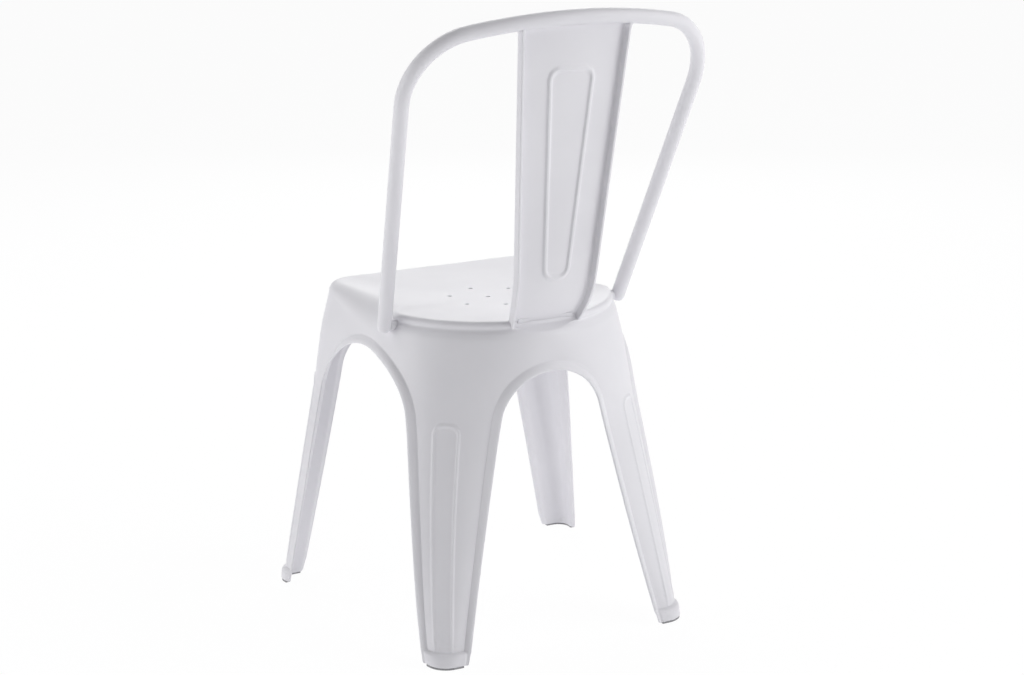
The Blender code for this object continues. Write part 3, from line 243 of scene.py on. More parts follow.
def arch_line(crown, half, rise, foot_half):
    """One side of an arch as (half gap, height) pairs: an elliptical crown that runs into a straight edge."""
    squeeze = rise / half
    centre = crown - rise
    reach = math.hypot(foot_half * squeeze, centre)
    spring = math.acos(rise / reach) - math.atan2(centre, foot_half * squeeze)
    line = [(0.0, crown)]
    for i in range(ARCH_ROWS):
        angle = blend(math.pi / 2.0, spring, blend(ARCH_FIRST_STEP, 1.0, i / (ARCH_ROWS - 1)))
        line.append((half * math.cos(angle), centre + rise * math.sin(angle)))
    spring_gap, spring_z = line[-1]
    return line + [(blend(foot_half, spring_gap, z / spring_z), z) for z in leg_heights(spring_z)]


def arch_pair(drop, half, rise, foot_half):
    """Crease of an arch's lip, and its free edge drawn back by the edge's rounding."""
    crown = SEAT_HEIGHT - drop
    edge = LIP_EDGE_ROUND
    return (arch_line(crown + LIP_WIDTH_TOP, half + LIP_WIDTH_TOP, rise + LIP_WIDTH_TOP,
                      foot_half + LIP_WIDTH_FOOT),
            arch_line(crown + edge, half + edge, rise + edge, foot_half + edge))


def end_run(gap, z, end):
    return Quarter(z, end).run_at_x(gap)


def side_run(gap, z, end):
    quarter = Quarter(z, end)
    return quarter.run_at_y(quarter.side_middle + end * gap)


def bead_spacing(z):
    """Half spacing of the two upright runs of a leg's bead."""
    share = (z - TOE_PROFILE[0][0]) / (BEAD_TOP - TOE_PROFILE[0][0])
    return blend(BEAD_FOOT_HALF, BEAD_TOP_HALF, min(1.0, max(0.0, share)))


def bead_share(across, beyond, corner, width):
    """Share of a bead's height at a point so far across and beyond the corner of its middle line."""
    across, beyond = across + corner, beyond + corner
    away = math.hypot(max(across, 0.0), max(beyond, 0.0)) + min(max(across, beyond), 0.0) - corner
    return ease((width / 2.0 - abs(away)) / (BEAD_SHOULDER * width))


def bead_rise(offset, line, z):
    """Height of the bead at an offset from the leg's corner line: a U upside down with rounded shoulders."""
    rise = bead_share(abs(offset) - line, z - BEAD_TOP, BEAD_CORNER, BEAD_WIDTH)
    return BEAD_HEIGHT * rise * ease((z - TOE_PROFILE[0][0]) / BEAD_FADE)


def leg_share(z):
    """How far the rows have passed from the even columns of the apron to those gathered along a leg's bead."""
    return ease((LEG_ROWS_TOP - z) / LEG_ROWS_FADE)


def bead_shift(z, end):
    """How far a rear leg's bead keeps off the corner line, towards the rear arch."""
    if end == FRONT:
        return 0.0
    return blend(BEAD_SHIFT_FOOT, BEAD_SHIFT_TOP, min(1.0, z / BEAD_TOP)) * leg_share(z)


def column_offsets(reach, line, z):
    """Distances of half a row's columns from the corner line: even on the apron, gathered along the bead below."""
    half = BEAD_WIDTH / 2.0
    beside = reach - min(CREASE_SUPPORT, CREASE_SUPPORT_SHARE * (reach - line - half))
    gathered = [reach] + [blend(beside, line + half, i / (PLAIN_COLUMNS - 1)) for i in range(PLAIN_COLUMNS - 1)]
    gathered += [line + half - BEAD_WIDTH * i / BEAD_COLUMNS for i in range(BEAD_COLUMNS)]
    gathered += [(line - half) * (1.0 - i / MIDDLE_COLUMNS) for i in range(MIDDLE_COLUMNS + 1)]
    share = leg_share(z)
    return [blend(reach * (1.0 - i / HALF_COLUMNS), place, share) for i, place in enumerate(gathered)]


def toe_offset(z):
    """How far the toe cap stands proud of the wall at one height."""
    for (upper, out), (lower, more) in zip(TOE_PROFILE, TOE_PROFILE[1:]):
        if lower - MERGE_DISTANCE <= z <= upper:
            return blend(out, more, (upper - z) / (upper - lower))
    return 0.0


def wall_row(end, first_run, first_z, last_gap, last_z):
    """Points across one quarter's wall, from the end arch to the side arch, each with its bead height and toe
    cap. The bead keeps near the corner line, or moves off it where a narrow leg leaves no room beside the lip."""
    from_side = Quarter(last_z, end).length - side_run(last_gap, last_z, end)
    row = []
    for j in range(COLUMNS + 1):
        z = blend(first_z, last_z, ease(j / COLUMNS))
        here = Quarter(z, end)
        line = bead_spacing(z)
        last_run = here.length - from_side
        centre = min(here.corner_middle - bead_shift(z, end), last_run - line - BEAD_WIDTH / 2.0 - BEAD_CLEAR)
        if j <= HALF_COLUMNS:
            offset = -column_offsets(centre - first_run, line, z)[j]
        else:
            offset = column_offsets(last_run - centre, line, z)[COLUMNS - j]
        cap = here.outward(centre + offset) * toe_offset(z)
        row.append((here.at(centre + offset), bead_rise(offset, line, z), cap))
    return row


def lip_flare(z, end, on_side):
    """How far a lip's free edge stands proud: the side lips of the front legs flare most under the seat."""
    if end == REAR or not on_side:
        return LIP_FLARE
    rising = blend(FRONT_SIDE_LIP_FLARE_FOOT, FRONT_SIDE_LIP_FLARE_MOST, ease(z / FRONT_SIDE_LIP_MOST_Z))
    return blend(rising, LIP_FLARE, ease((z - FRONT_SIDE_LIP_MOST_Z) / FRONT_SIDE_LIP_FADE))


def foot_corner(z, share):
    """Height of a lip point near the floor: the lip's lower corner is rounded off."""
    toe = TOE_PROFILE[0][0]
    if z >= toe:
        return z
    inside = max(0.0, LIP_FOOT_ROUND - (1.0 - share) * LIP_WIDTH_FOOT)
    lowest = FOOT_BOTTOM + LIP_FOOT_ROUND - math.sqrt(LIP_FOOT_ROUND ** 2 - inside ** 2)
    return blend(lowest, toe, (z - FOOT_BOTTOM) / (toe - FOOT_BOTTOM))


def lip_points(end, on_side, crease, edge):
    """Points of the lip between crease and free edge, each with its toe cap."""
    points = []
    for share in LIP_SHARES:
        gap = blend(crease[0], edge[0], share)
        z = foot_corner(blend(crease[1], edge[1], share), share)
        run = side_run(gap, z, end) if on_side else end_run(gap, z, end)
        flare = lip_flare(z, end, on_side) * blend(share, share ** 2, LIP_CURL)
        normal = wall_normal(z, end, run)
        if z < TOE_PROFILE[0][0]:
            normal = Vector((normal.x, normal.y, 0.0)).normalized()
        cap = normal * (max(0.0, toe_offset(z) - flare) * (1.0 - share))
        points.append((Quarter(z, end).at(run) + normal * flare, 0.0, cap))
    return points


def rim_round(y):
    """Radius of the rolled rim: crisp at the rear, large at the sides, medium at the front."""
    if y > 0.0:
        return blend(RIM_ROUND_SIDE, RIM_ROUND_REAR, ease((y - RIM_ROLLED_Y) / (RIM_CRISP_Y - RIM_ROLLED_Y)))
    return blend(RIM_ROUND_SIDE, RIM_ROUND_FRONT, ease(-y / SEAT_FRONT_DEPTH))


def even_run(quarter, j):
    if j <= HALF_COLUMNS:
        return quarter.corner_middle * j / HALF_COLUMNS
    return blend(quarter.corner_middle, quarter.length, j / HALF_COLUMNS - 1.0)


def apron_heights(start, crown):
    """Heights of one column's apron rows: close together at the groove under the rim."""
    heights = []
    for i, drop in enumerate(APRON_UPPER_ROWS):
        least = blend(start, crown, APRON_LEAST_SHARE * (i + 1) / len(APRON_UPPER_ROWS))
        heights.append(min(SEAT_HEIGHT - RIM_ROUND_REAR - drop, least))
    return heights + [blend(heights[-1], crown, share) for share in APRON_LOWER_ROWS]


def rim_rows(end, crown):
    """Rows of one quarter from the edge of the seat top, over the rolled rim, down to the arch crowns."""
    band = Quarter(BAND_BOTTOM, end)
    radii = [rim_round(band.at(even_run(band, j)).y) for j in range(COLUMNS + 1)]
    rows = []
    for i in range(ROUND_ROWS + 1):
        angle = math.pi / 2.0 * i / ROUND_ROWS
        row = []
        for j, radius in enumerate(radii):
            wall = Quarter(SEAT_HEIGHT - radius, end)
            run = even_run(wall, j)
            point = wall.at(run) - wall.outward(run) * (radius * (1.0 - math.sin(angle)))
            point.z = SEAT_HEIGHT - radius * (1.0 - math.cos(angle))
            row.append((point, 0.0, NO_CAP))
        rows.append(row)
    columns = []
    for j, radius in enumerate(radii):
        walls = [Quarter(z, end) for z in apron_heights(SEAT_HEIGHT - radius, crown[j][0].z)]
        columns.append([(wall.at(even_run(wall, j)), 0.0, NO_CAP) for wall in walls])
    return rows + [list(row) for row in zip(*columns)]


def seat_top_rings(ring):
    """Dished seat top: rings drawn in from the rim towards the middle, where a drain hole takes the last one."""
    rings = []
    for i in range(SEAT_RINGS + 1):
        share = blend(1.0, SEAT_LAST_RING, i / SEAT_RINGS)
        inside = 1.0 - share * share
        inside *= inside * (1.0 + SEAT_DISH_SOFT) / (inside + SEAT_DISH_SOFT)
        z = SEAT_HEIGHT - SEAT_DISH * inside ** SEAT_DISH_POWER
        rings.append([Vector((point.x * share, point.y * share, z)) for point in ring])
    return rings


def grid_faces(bm, rows):
    for upper, lower in zip(rows, rows[1:]):
        for j in range(len(upper) - 1):
            bm.faces.new((upper[j], upper[j + 1], lower[j + 1], lower[j]))


def mirrored(point, side):
    return Vector((side * point.x, point.y, point.z))


def outer_skin():
    """Outer surface without toe caps; its layers keep bead height, cap thickness, the way out of a free edge
    and the level way out of the wall."""
    bm = bmesh.new()
    bead_layer = bm.verts.layers.float.new("bead")
    cap_layer = bm.verts.layers.float_vector.new("cap")
    sole_layer = bm.verts.layers.int.new("sole")
    way_layer = bm.verts.layers.float_vector.new("way")
    level_layer = bm.verts.layers.float_vector.new("level")
    ring, top_edges = [], {}
    for end in (REAR, FRONT):
        end_crease, end_edge = arch_pair(*(REAR_ARCH if end == REAR else FRONT_ARCH))
        side_crease, side_edge = arch_pair(*(SIDE_ARCH_REAR if end == REAR else SIDE_ARCH_FRONT))
        legs = []
        for a, b, c, d in zip(end_crease, end_edge, side_crease, side_edge):
            wall = wall_row(end, end_run(a[0], a[1], end), a[1], c[0], c[1])
            legs.append(lip_points(end, False, a, b)[::-1] + wall + lip_points(end, True, c, d))
        crown = legs[0][LIP_COLUMNS:-LIP_COLUMNS]
        rim = rim_rows(end, crown) + [crown]
        top_edges[end] = rim[0]
        for side in (LEFT, RIGHT) if end == REAR else (RIGHT, LEFT):
            for rows in (rim, legs):
                made = []
                for row in rows:
                    verts = [bm.verts.new(mirrored(point, side)) for point, _, _ in row]
                    for j, (vert, (_, bead, cap)) in enumerate(zip(verts, row)):
                        along = row[min(j + 1, len(row) - 1)][0] - row[max(j - 1, 0)][0]
                        level = Vector((-end * along.y, end * along.x, 0.0)).normalized()
                        vert[bead_layer] = bead
                        vert[cap_layer] = mirrored(cap, side)
                        vert[level_layer] = mirrored(level, side)
                    verts[0][way_layer] = (verts[0].co - verts[1].co).normalized()
                    verts[-1][way_layer] = (verts[-1].co - verts[-2].co).normalized()
                    made.append(verts)
                for vert in made[-1]:
                    vert[sole_layer] = int(rows is legs)
                grid_faces(bm, made)
    for end, side in ((REAR, LEFT), (FRONT, LEFT), (FRONT, RIGHT), (REAR, RIGHT)):
        edge = [mirrored(point, side) for point, _, _ in top_edges[end]]
        ring += edge[:-1] if end * side > 0 else edge[:0:-1]
    rings = [[bm.verts.new(point) for point in row] for row in seat_top_rings(ring)]
    grid_faces(bm, [row + row[:1] for row in rings])
    bm.faces.new(rings[-1])
    bmesh.ops.remove_doubles(bm, verts=bm.verts, dist=MERGE_DISTANCE)
    bmesh.ops.recalc_face_normals(bm, faces=bm.faces)
    top = max(bm.faces, key=lambda face: face.calc_center_median().z - face.calc_center_median().xy.length)
    if top.normal.z < 0.0:
        bmesh.ops.reverse_faces(bm, faces=bm.faces)
    bm.normal_update()
    return bm, bead_layer, cap_layer, sole_layer, way_layer, level_layer


def thicken(bm, bead_layer, cap_layer, sole_layer, way_layer, level_layer):
    """Give the skin its wall: an inner skin one wall below, beads and toe caps outside, rounded free edges."""
    skin = list(bm.faces)
    border = [edge for edge in bm.edges if edge.is_boundary]
    outer = list(bm.verts)
    moves = []
    for vert in outer:
        upright = ease((2.0 * TOE_PROFILE[0][0] - vert.co.z) / TOE_PROFILE[0][0])
        low = vert.co - blend(vert.normal, Vector(vert[level_layer]), upright) * WALL
        moves.append((low, Vector(vert[cap_layer]) + vert.normal * vert[bead_layer]))
    below = {}
    for vert, (low, out) in zip(outer, moves):
        below[vert] = bm.verts.new(low)
        vert.co += out
    for face in skin:
        bm.faces.new([below[vert] for vert in reversed(face.verts)])
    rounded = {}

    def edge_chain(vert):
        if vert not in rounded:
            way = Vector(vert[way_layer]) * LIP_EDGE_ROUND
            chain = [vert]
            for k in range(1, LIP_EDGE_STEPS):
                angle = math.pi * k / LIP_EDGE_STEPS
                place = blend(vert.co, below[vert].co, (1.0 - math.cos(angle)) / 2.0) + way * math.sin(angle)
                chain.append(bm.verts.new(place))
            rounded[vert] = chain + [below[vert]]
        return rounded[vert]

    for edge in border:
        first, second = edge.verts
        if first[sole_layer] and second[sole_layer]:
            bm.faces.new((first, second, below[second], below[first]))
            continue
        one, two = edge_chain(first), edge_chain(second)
        for k in range(LIP_EDGE_STEPS):
            bm.faces.new((one[k], two[k], two[k + 1], one[k + 1]))
    for vert, chain in rounded.items():
        if vert[sole_layer]:
            bm.faces.new(chain)
    bmesh.ops.recalc_face_normals(bm, faces=bm.faces)


def piece_from(name, mesh, material=None):
    """Put a mesh made round the seat's own middle where the chair stands, as an object of the scene."""
    mesh.transform(Matrix.Translation((0.0, SEAT_MIDDLE_Y, 0.0)))
    piece = bpy.data.objects.new(name, mesh)
    bpy.context.scene.collection.objects.link(piece)
    if material and not mesh.materials:
        mesh.materials.append(material)
    return piece


def mesh_from(name, bm):
    mesh = bpy.data.meshes.new(name)
    bmesh.ops.recalc_face_normals(bm, faces=bm.faces)
    bm.to_mesh(mesh)
    bm.free()
    return mesh


def add_node(tree, kind, inputs, **options):
    """Add a node to a tree and return its outputs. Each input takes a value, a link from a socket, or a list of
    links."""
    node = tree.nodes.new(kind)
    for name, option in options.items():
        setattr(node, name, option)
    for name, given in inputs.items():
        for feed in given if isinstance(given, list) else [given]:
            if isinstance(feed, bpy.types.NodeSocket):
                tree.links.new(feed, node.inputs[name])
            else:
                node.inputs[name].default_value = feed
    return node.outputs


def start_material(name, level):
    """New material with the socket values of its shader; gives its tree, its shader's inputs and the place on the
    object."""
    material = bpy.data.materials.new(name)
    material.use_nodes = True
    tree = material.node_tree
    shader = tree.nodes["Principled BSDF"].inputs
    for socket, value in level.items():
        shader[socket].default_value = value
    return material, tree, shader, tree.nodes.new("ShaderNodeTexCoord").outputs["Object"]


def noise(tree, place, **sizes):
    """Share between 0 and 1 that varies over the object."""
    inputs = {"Vector": place}
    inputs.update((name.capitalize(), value) for name, value in sizes.items())
    return add_node(tree, "ShaderNodeTexNoise", inputs)["Fac"]


def two_tones(tree, share, *stops):
    """Colour that passes between two stops, each a position and a colour."""
    ramp = tree.nodes.new("ShaderNodeValToRGB")
    tree.links.new(share, ramp.inputs["Fac"])
    for element, (position, colour) in zip(ramp.color_ramp.elements, stops):
        element.position = position
        element.color = (*colour, 1.0)
    return ramp.outputs["Color"]


def dress(tree, shader, colour, shine, smoothest, roughest, grain, strength, depth):
    """Give a shader its colour, a roughness that varies between two values and a fine grain."""
    rough = add_node(tree, "ShaderNodeMapRange", {"To Min": smoothest, "To Max": roughest, "Value": shine})
    bump = add_node(tree, "ShaderNodeBump", {"Strength": strength, "Distance": depth, "Height": grain})
    tree.links.new(colour, shader["Base Color"])
    tree.links.new(rough["Result"], shader["Roughness"])
    tree.links.new(bump["Normal"], shader["Normal"])


def satin_white_plastic():
    """White polypropylene from a finely etched mould: faint clouding, fine grain, and scuffs near the floor."""
    material, tree, shader, place = start_material("satin_white_plastic", {"IOR": 1.49, "Specular IOR Level": 0.42})
    cloud = noise(tree, place, scale=7.0, detail=5.0)
    tint = two_tones(tree, cloud, (0.32, (0.787, 0.780, 0.814)), (0.68, (0.827, 0.820, 0.852)))
    height = add_node(tree, "ShaderNodeSeparateXYZ", {"Vector": place})["Z"]
    low = add_node(tree, "ShaderNodeMapRange", {"From Min": 0.07, "From Max": 0.0, "Value": height})["Result"]
    rub = noise(tree, place, scale=160.0, detail=6.0, roughness=0.65)
    flecks = add_node(tree, "ShaderNodeMapRange", {"From Min": 0.56, "From Max": 0.9, "Value": rub})["Result"]
    worn = add_node(tree, "ShaderNodeMath", {0: low, 1: flecks}, operation="MULTIPLY")["Value"]
    scuffed = add_node(tree, "ShaderNodeMix", {"B": (0.66, 0.655, 0.665, 1.0), "Factor": worn, "A": tint},
                       data_type="RGBA")["Result"]
    streak = noise(tree, place, scale=38.0, detail=4.0)
    etch = noise(tree, place, scale=1400.0, detail=2.0)
    dress(tree, shader, scuffed, streak, 0.36, 0.5, etch, 0.08, 0.0003)
    return material


white_plastic = satin_white_plastic()
skin_bm, *skin_layers = outer_skin()
thicken(skin_bm, *skin_layers)
seat_tree = BVHTree.FromBMesh(skin_bm)
shell = piece_from("seat_and_leg_shell", mesh_from("seat_and_leg_shell", skin_bm), white_plastic)

# Ribs, webs and bosses on the underside of the shell
# Thin walls of the same moulding: a grid of ribs stiffens the seat, four webs carry the next chair of a stack,
# and round bosses and a thick block inside the rim take the screws of hoop and splat.
RIB_THICKNESS = 0.0026
RIB_DEPTH = 0.016
RIB_INSET = 0.03
LONG_RIBS = (-0.09, -0.022, 0.022, 0.09)
CROSS_RIB_REAR_Y = SEAT_REAR_DEPTH - 0.0835
CROSS_RIBS = (0.046 - SEAT_FRONT_DEPTH, 0.1035 - SEAT_FRONT_DEPTH, CROSS_RIB_REAR_Y)
RIB_STEPS = 24
WEB_THICKNESS = 0.003
WEB_DROP = 0.093
WEB_CORNER = 0.008
WEB_CORNER_STEPS = 8
WEB_WIDTH = 0.048
WEB_SHOULDER_DROP = 5.0 * WALL
FRONT_WEB_INSET = 0.026
REAR_WEB_INSET = 0.061
BOSS_SIDES = 32
HOOP_LUG_RADIUS = 0.0048
HOOP_LUG_DROP = 0.0125
HOOP_LUG_LENGTH = 0.019
HOOP_BOSS_RADIUS = 0.0065
HOOP_BOSS_LENGTH = 0.026
HOOP_SCREW_DROP = 0.0155
SPLAT_BOSS_HALF = 0.06
SPLAT_BOSS_DROP = 0.039
SPLAT_BOSS_FRONT = SEAT_REAR_DEPTH - 0.038
SPLAT_BOSS_STEPS = 12
HOOP_HALF_AT_SEAT = SEAT_REAR_HALF_WIDTH + 0.0087
HOOP_SPLAY = 0.103
HOOP_LEAN = 0.449
HOOP_Y_AT_SEAT = 0.0514
HOOP_BOW = 0.016
HOOP_BOW_HALF_WIDTH = 0.2


def combine(target, tool, operation):
    """Join the tool to the target or cut it away, and remove the tool."""
    step = target.modifiers.new(tool.name, "BOOLEAN")
    step.operation = operation
    step.solver = "EXACT"
    step.object = tool
    depsgraph = bpy.context.evaluated_depsgraph_get()
    result = bpy.data.meshes.new_from_object(target.evaluated_get(depsgraph))
    target.modifiers.remove(step)
    before = target.data
    target.data = result
    bpy.data.meshes.remove(before)
    bpy.data.objects.remove(tool)


def loft(bm, rings):
    """Skin a row of equal rings with quads and close it with flat caps."""
    rows = [[bm.verts.new(point) for point in ring] for ring in rings]
    count = len(rows[0])
    for lower, upper in zip(rows, rows[1:]):
        for i in range(count):
            k = (i + 1) % count
            bm.faces.new((lower[i], lower[k], upper[k], upper[i]))
    bm.faces.new(rows[0])
    bm.faces.new(rows[-1])


def start_tree(name, sizes):
    """Geometry node tree with named size inputs and a material input."""
    tree = bpy.data.node_groups.new(name, "GeometryNodeTree")
    tree.interface.new_socket(name="Geometry", in_out="INPUT", socket_type="NodeSocketGeometry")
    for size in sizes:
        tree.interface.new_socket(name=size, in_out="INPUT", socket_type="NodeSocketFloat")
    tree.interface.new_socket(name="Material", in_out="INPUT", socket_type="NodeSocketMaterial")
    tree.interface.new_socket(name="Geometry", in_out="OUTPUT", socket_type="NodeSocketGeometry")
    return tree, tree.nodes.new("NodeGroupInput").outputs


def finish_tree(tree, given, last):
    """Close a tree with real geometry that carries its material."""
    real = add_node(tree, "GeometryNodeRealizeInstances", {"Geometry": last})["Geometry"]
    paint = add_node(tree, "GeometryNodeSetMaterial", {"Geometry": real, "Material": given["Material"]})
    add_node(tree, "NodeGroupOutput", {"Geometry": paint["Geometry"]})


def grow(tree, source, values):
    """Run a tree on a mesh with its inputs set, and keep the result as a plain mesh."""
    carrier = bpy.data.objects.new(tree.name, source)
    bpy.context.scene.collection.objects.link(carrier)
    step = carrier.modifiers.new(tree.name, "NODES")
    step.node_group = tree
    for item in tree.interface.items_tree:
        if item.item_type == "SOCKET" and item.in_out == "INPUT" and item.name in values:
            step[item.identifier] = values[item.name]
    depsgraph = bpy.context.evaluated_depsgraph_get()
    result = bpy.data.meshes.new_from_object(carrier.evaluated_get(depsgraph))
    carrier.modifiers.remove(step)
    bpy.data.objects.remove(carrier)
    return result


def faced_outwards(mesh):
    """Turn a swept mesh's faces outwards."""
    bm = bmesh.new()
    bm.from_mesh(mesh)
    bmesh.ops.remove_doubles(bm, verts=bm.verts, dist=MERGE_DISTANCE)
    bmesh.ops.recalc_face_normals(bm, faces=bm.faces)
    bm.to_mesh(mesh)
    bm.free()
    return mesh


def top_of(x, y):
    """Height of the seat's upper surface over a point."""
    return seat_tree.ray_cast(Vector((x, y, 1.0)), Vector((0.0, 0.0, -1.0)))[0].z


def rib_lines(along_x, places):
    """Middle lines of ribs under the seat, in one mesh of loose edges."""
    bm = bmesh.new()
    for fixed in places:
        if along_x:
            quarter = Quarter(BAND_BOTTOM, REAR if fixed > SEAT_SIDE_MIDDLE else FRONT)
            end = quarter.at(quarter.run_at_y(fixed)).x - RIB_INSET
            start = -end
        else:
            front = Quarter(BAND_BOTTOM, FRONT)
            start = front.at(front.run_at_x(abs(fixed))).y + RIB_INSET
            end = CROSS_RIB_REAR_Y
        line = []
        for i in range(RIB_STEPS + 1):
            run = blend(start, end, i / RIB_STEPS)
            x, y = (run, fixed) if along_x else (fixed, run)
            line.append(bm.verts.new((x, y, top_of(x, y) - (1.5 * WALL + RIB_DEPTH) / 2.0)))
        for first, second in zip(line, line[1:]):
            bm.edges.new((first, second))
    return mesh_from("rib_lines", bm)


def rib_tree():
    """Ribs: an upright rectangle swept along each middle line."""
    tree, given = start_tree("seat_ribs", ("Rib Thickness", "Rib Height"))
    line = add_node(tree, "GeometryNodeMeshToCurve", {"Mesh": given["Geometry"]})["Curve"]
    upright = add_node(tree, "GeometryNodeSetCurveNormal", {"Curve": line}, mode="Z_UP")["Curve"]
    section = add_node(tree, "GeometryNodeCurvePrimitiveQuadrilateral",
                       {"Width": given["Rib Thickness"], "Height": given["Rib Height"]})["Curve"]
    sweep = add_node(tree, "GeometryNodeCurveToMesh",
                     {"Fill Caps": True, "Curve": upright, "Profile Curve": section})["Mesh"]
    finish_tree(tree, given, sweep)
    return tree


def rounded_line(points, radius):
    """Open line through points on a plane, with its inner corners rounded."""
    line = [points[0]]
    for before, corner, after in zip(points, points[1:], points[2:]):
        start = corner + (before - corner).normalized() * radius
        end = corner + (after - corner).normalized() * radius
        for i in range(WEB_CORNER_STEPS + 1):
            t = i / WEB_CORNER_STEPS
            line.append(start * (1 - t) ** 2 + corner * (2 * t * (1 - t)) + end * t ** 2)
    line.append(points[-1])
    return line


def stacking_web(side, end, y):
    """Upright web across the top of a leg channel."""
    rim = Quarter(BAND_BOTTOM, end)
    bottom = SEAT_HEIGHT - WEB_DROP
    low = Quarter(bottom, end)
    rim_x = rim.at(rim.run_at_y(y)).x
    low_x = low.at(low.run_at_y(y)).x
    inner_x = rim_x - WEB_WIDTH
    shoulder_x = rim_x - RIM_ROUND_FRONT - WALL
    outline = [Vector((inner_x, 0.0, top_of(inner_x, y) - WALL / 2.0)),
               Vector((shoulder_x, 0.0, top_of(shoulder_x, y) - WALL / 2.0)),
               Vector((rim_x - WALL / 2.0, 0.0, BAND_BOTTOM - WEB_SHOULDER_DROP)),
               Vector((low_x - WALL / 2.0, 0.0, bottom))]
    outline += rounded_line([outline[-1], Vector((inner_x, 0.0, bottom)), outline[0]], WEB_CORNER)[1:-1]
    bm = bmesh.new()
    loft(bm, [[Vector((side * point.x, y + WEB_THICKNESS * half, point.z)) for point in outline]
              for half in (-0.5, 0.5)])
    return piece_from("stacking_web", mesh_from("stacking_web", bm))


def circle_ring(centre, first, second, radius, sides):
    turns = [2.0 * math.pi * (i + 0.5) / sides for i in range(sides)]
    return [centre + first * (radius * math.cos(a)) + second * (radius * math.sin(a)) for a in turns]


def round_bar(name, start, end, radius):
    bm = bmesh.new()
    axis = (end - start).normalized()
    first = axis.orthogonal().normalized()
    loft(bm, [circle_ring(point, first, axis.cross(first), radius, BOSS_SIDES) for point in (start, end)])
    return piece_from(name, mesh_from(name, bm))


def hoop_point(x, z):
    """Point of the leaning hoop's axis, whose top rail bows to the rear."""
    bow = HOOP_BOW * (1.0 - (x / HOOP_BOW_HALF_WIDTH) ** 2)
    return Vector((x, HOOP_Y_AT_SEAT + HOOP_LEAN * (z - SEAT_HEIGHT) + bow, z))


def hoop_fix_place(side, drop):
    """Point on the hoop's axis, some way below the seat's height."""
    z = SEAT_HEIGHT - drop
    return mirrored(hoop_point(HOOP_HALF_AT_SEAT + HOOP_SPLAY * (z - SEAT_HEIGHT), z), side)


def splat_boss():
    """Thick block inside the rear rim that the splat stands in."""
    low = SEAT_HEIGHT - SPLAT_BOSS_DROP
    top = SEAT_HEIGHT - RIM_ROUND_REAR
    walls = [Quarter(blend(low, top, i / SPLAT_BOSS_STEPS), REAR) for i in range(SPLAT_BOSS_STEPS + 1)]
    rings = []
    for i in range(-SPLAT_BOSS_STEPS, SPLAT_BOSS_STEPS + 1):
        x = SPLAT_BOSS_HALF * i / SPLAT_BOSS_STEPS
        section = [(SPLAT_BOSS_FRONT, low)]
        for wall in walls:
            section.append((wall.at(wall.run_at_x(abs(x))).y - WALL / 2.0, wall.z))
        shoulder = section[-1][0] + WALL / 2.0 - RIM_ROUND_REAR
        section += [(shoulder, top_of(x, shoulder) - WALL / 2.0),
                    (SPLAT_BOSS_FRONT, top_of(x, SPLAT_BOSS_FRONT) - WALL / 2.0)]
        rings.append([Vector((x, y, z)) for y, z in section])
    bm = bmesh.new()
    loft(bm, rings)
    return piece_from("splat_boss", mesh_from("splat_boss", bm))


rib_sizes = {"Rib Thickness": RIB_THICKNESS, "Rib Height": RIB_DEPTH + WALL / 2.0, "Material": white_plastic}
seat_ribs = rib_tree()
long_ribs = faced_outwards(grow(seat_ribs, rib_lines(False, LONG_RIBS), rib_sizes))
cross_ribs = faced_outwards(grow(seat_ribs, rib_lines(True, CROSS_RIBS), rib_sizes))
underside = piece_from("underside", long_ribs)
combine(underside, piece_from("cross_ribs", cross_ribs), "UNION")
combine(underside, splat_boss(), "UNION")
for side in (LEFT, RIGHT):
    combine(underside, stacking_web(side, FRONT, FRONT_WEB_INSET - SEAT_FRONT_DEPTH), "UNION")
    combine(underside, stacking_web(side, REAR, SEAT_REAR_DEPTH - REAR_WEB_INSET), "UNION")
    reach = Vector((side, 0.0, 0.0))
    lug = hoop_fix_place(side, HOOP_LUG_DROP)
    boss = hoop_fix_place(side, HOOP_SCREW_DROP)
    combine(underside, round_bar("hoop_lug", lug - reach * HOOP_LUG_LENGTH, lug, HOOP_LUG_RADIUS), "UNION")
    combine(underside, round_bar("hoop_boss", boss - reach * HOOP_BOSS_LENGTH, boss, HOOP_BOSS_RADIUS), "UNION")
combine(shell, underside, "UNION")

# Drain holes in the seat
# Seven small round holes through the middle of the dish, moulded in, that let rain water out: one in the centre
# and six on a ring around it.
DRAIN_HOLE_RADIUS = 0.0036
DRAIN_RING_RADIUS = 0.0525
DRAIN_RING_HOLES = 6
DRAIN_RING_TURN = math.radians(30.0)
DRAIN_HOLE_SIDES = 28
DRAIN_CUT_DEPTH = 6.0 * WALL


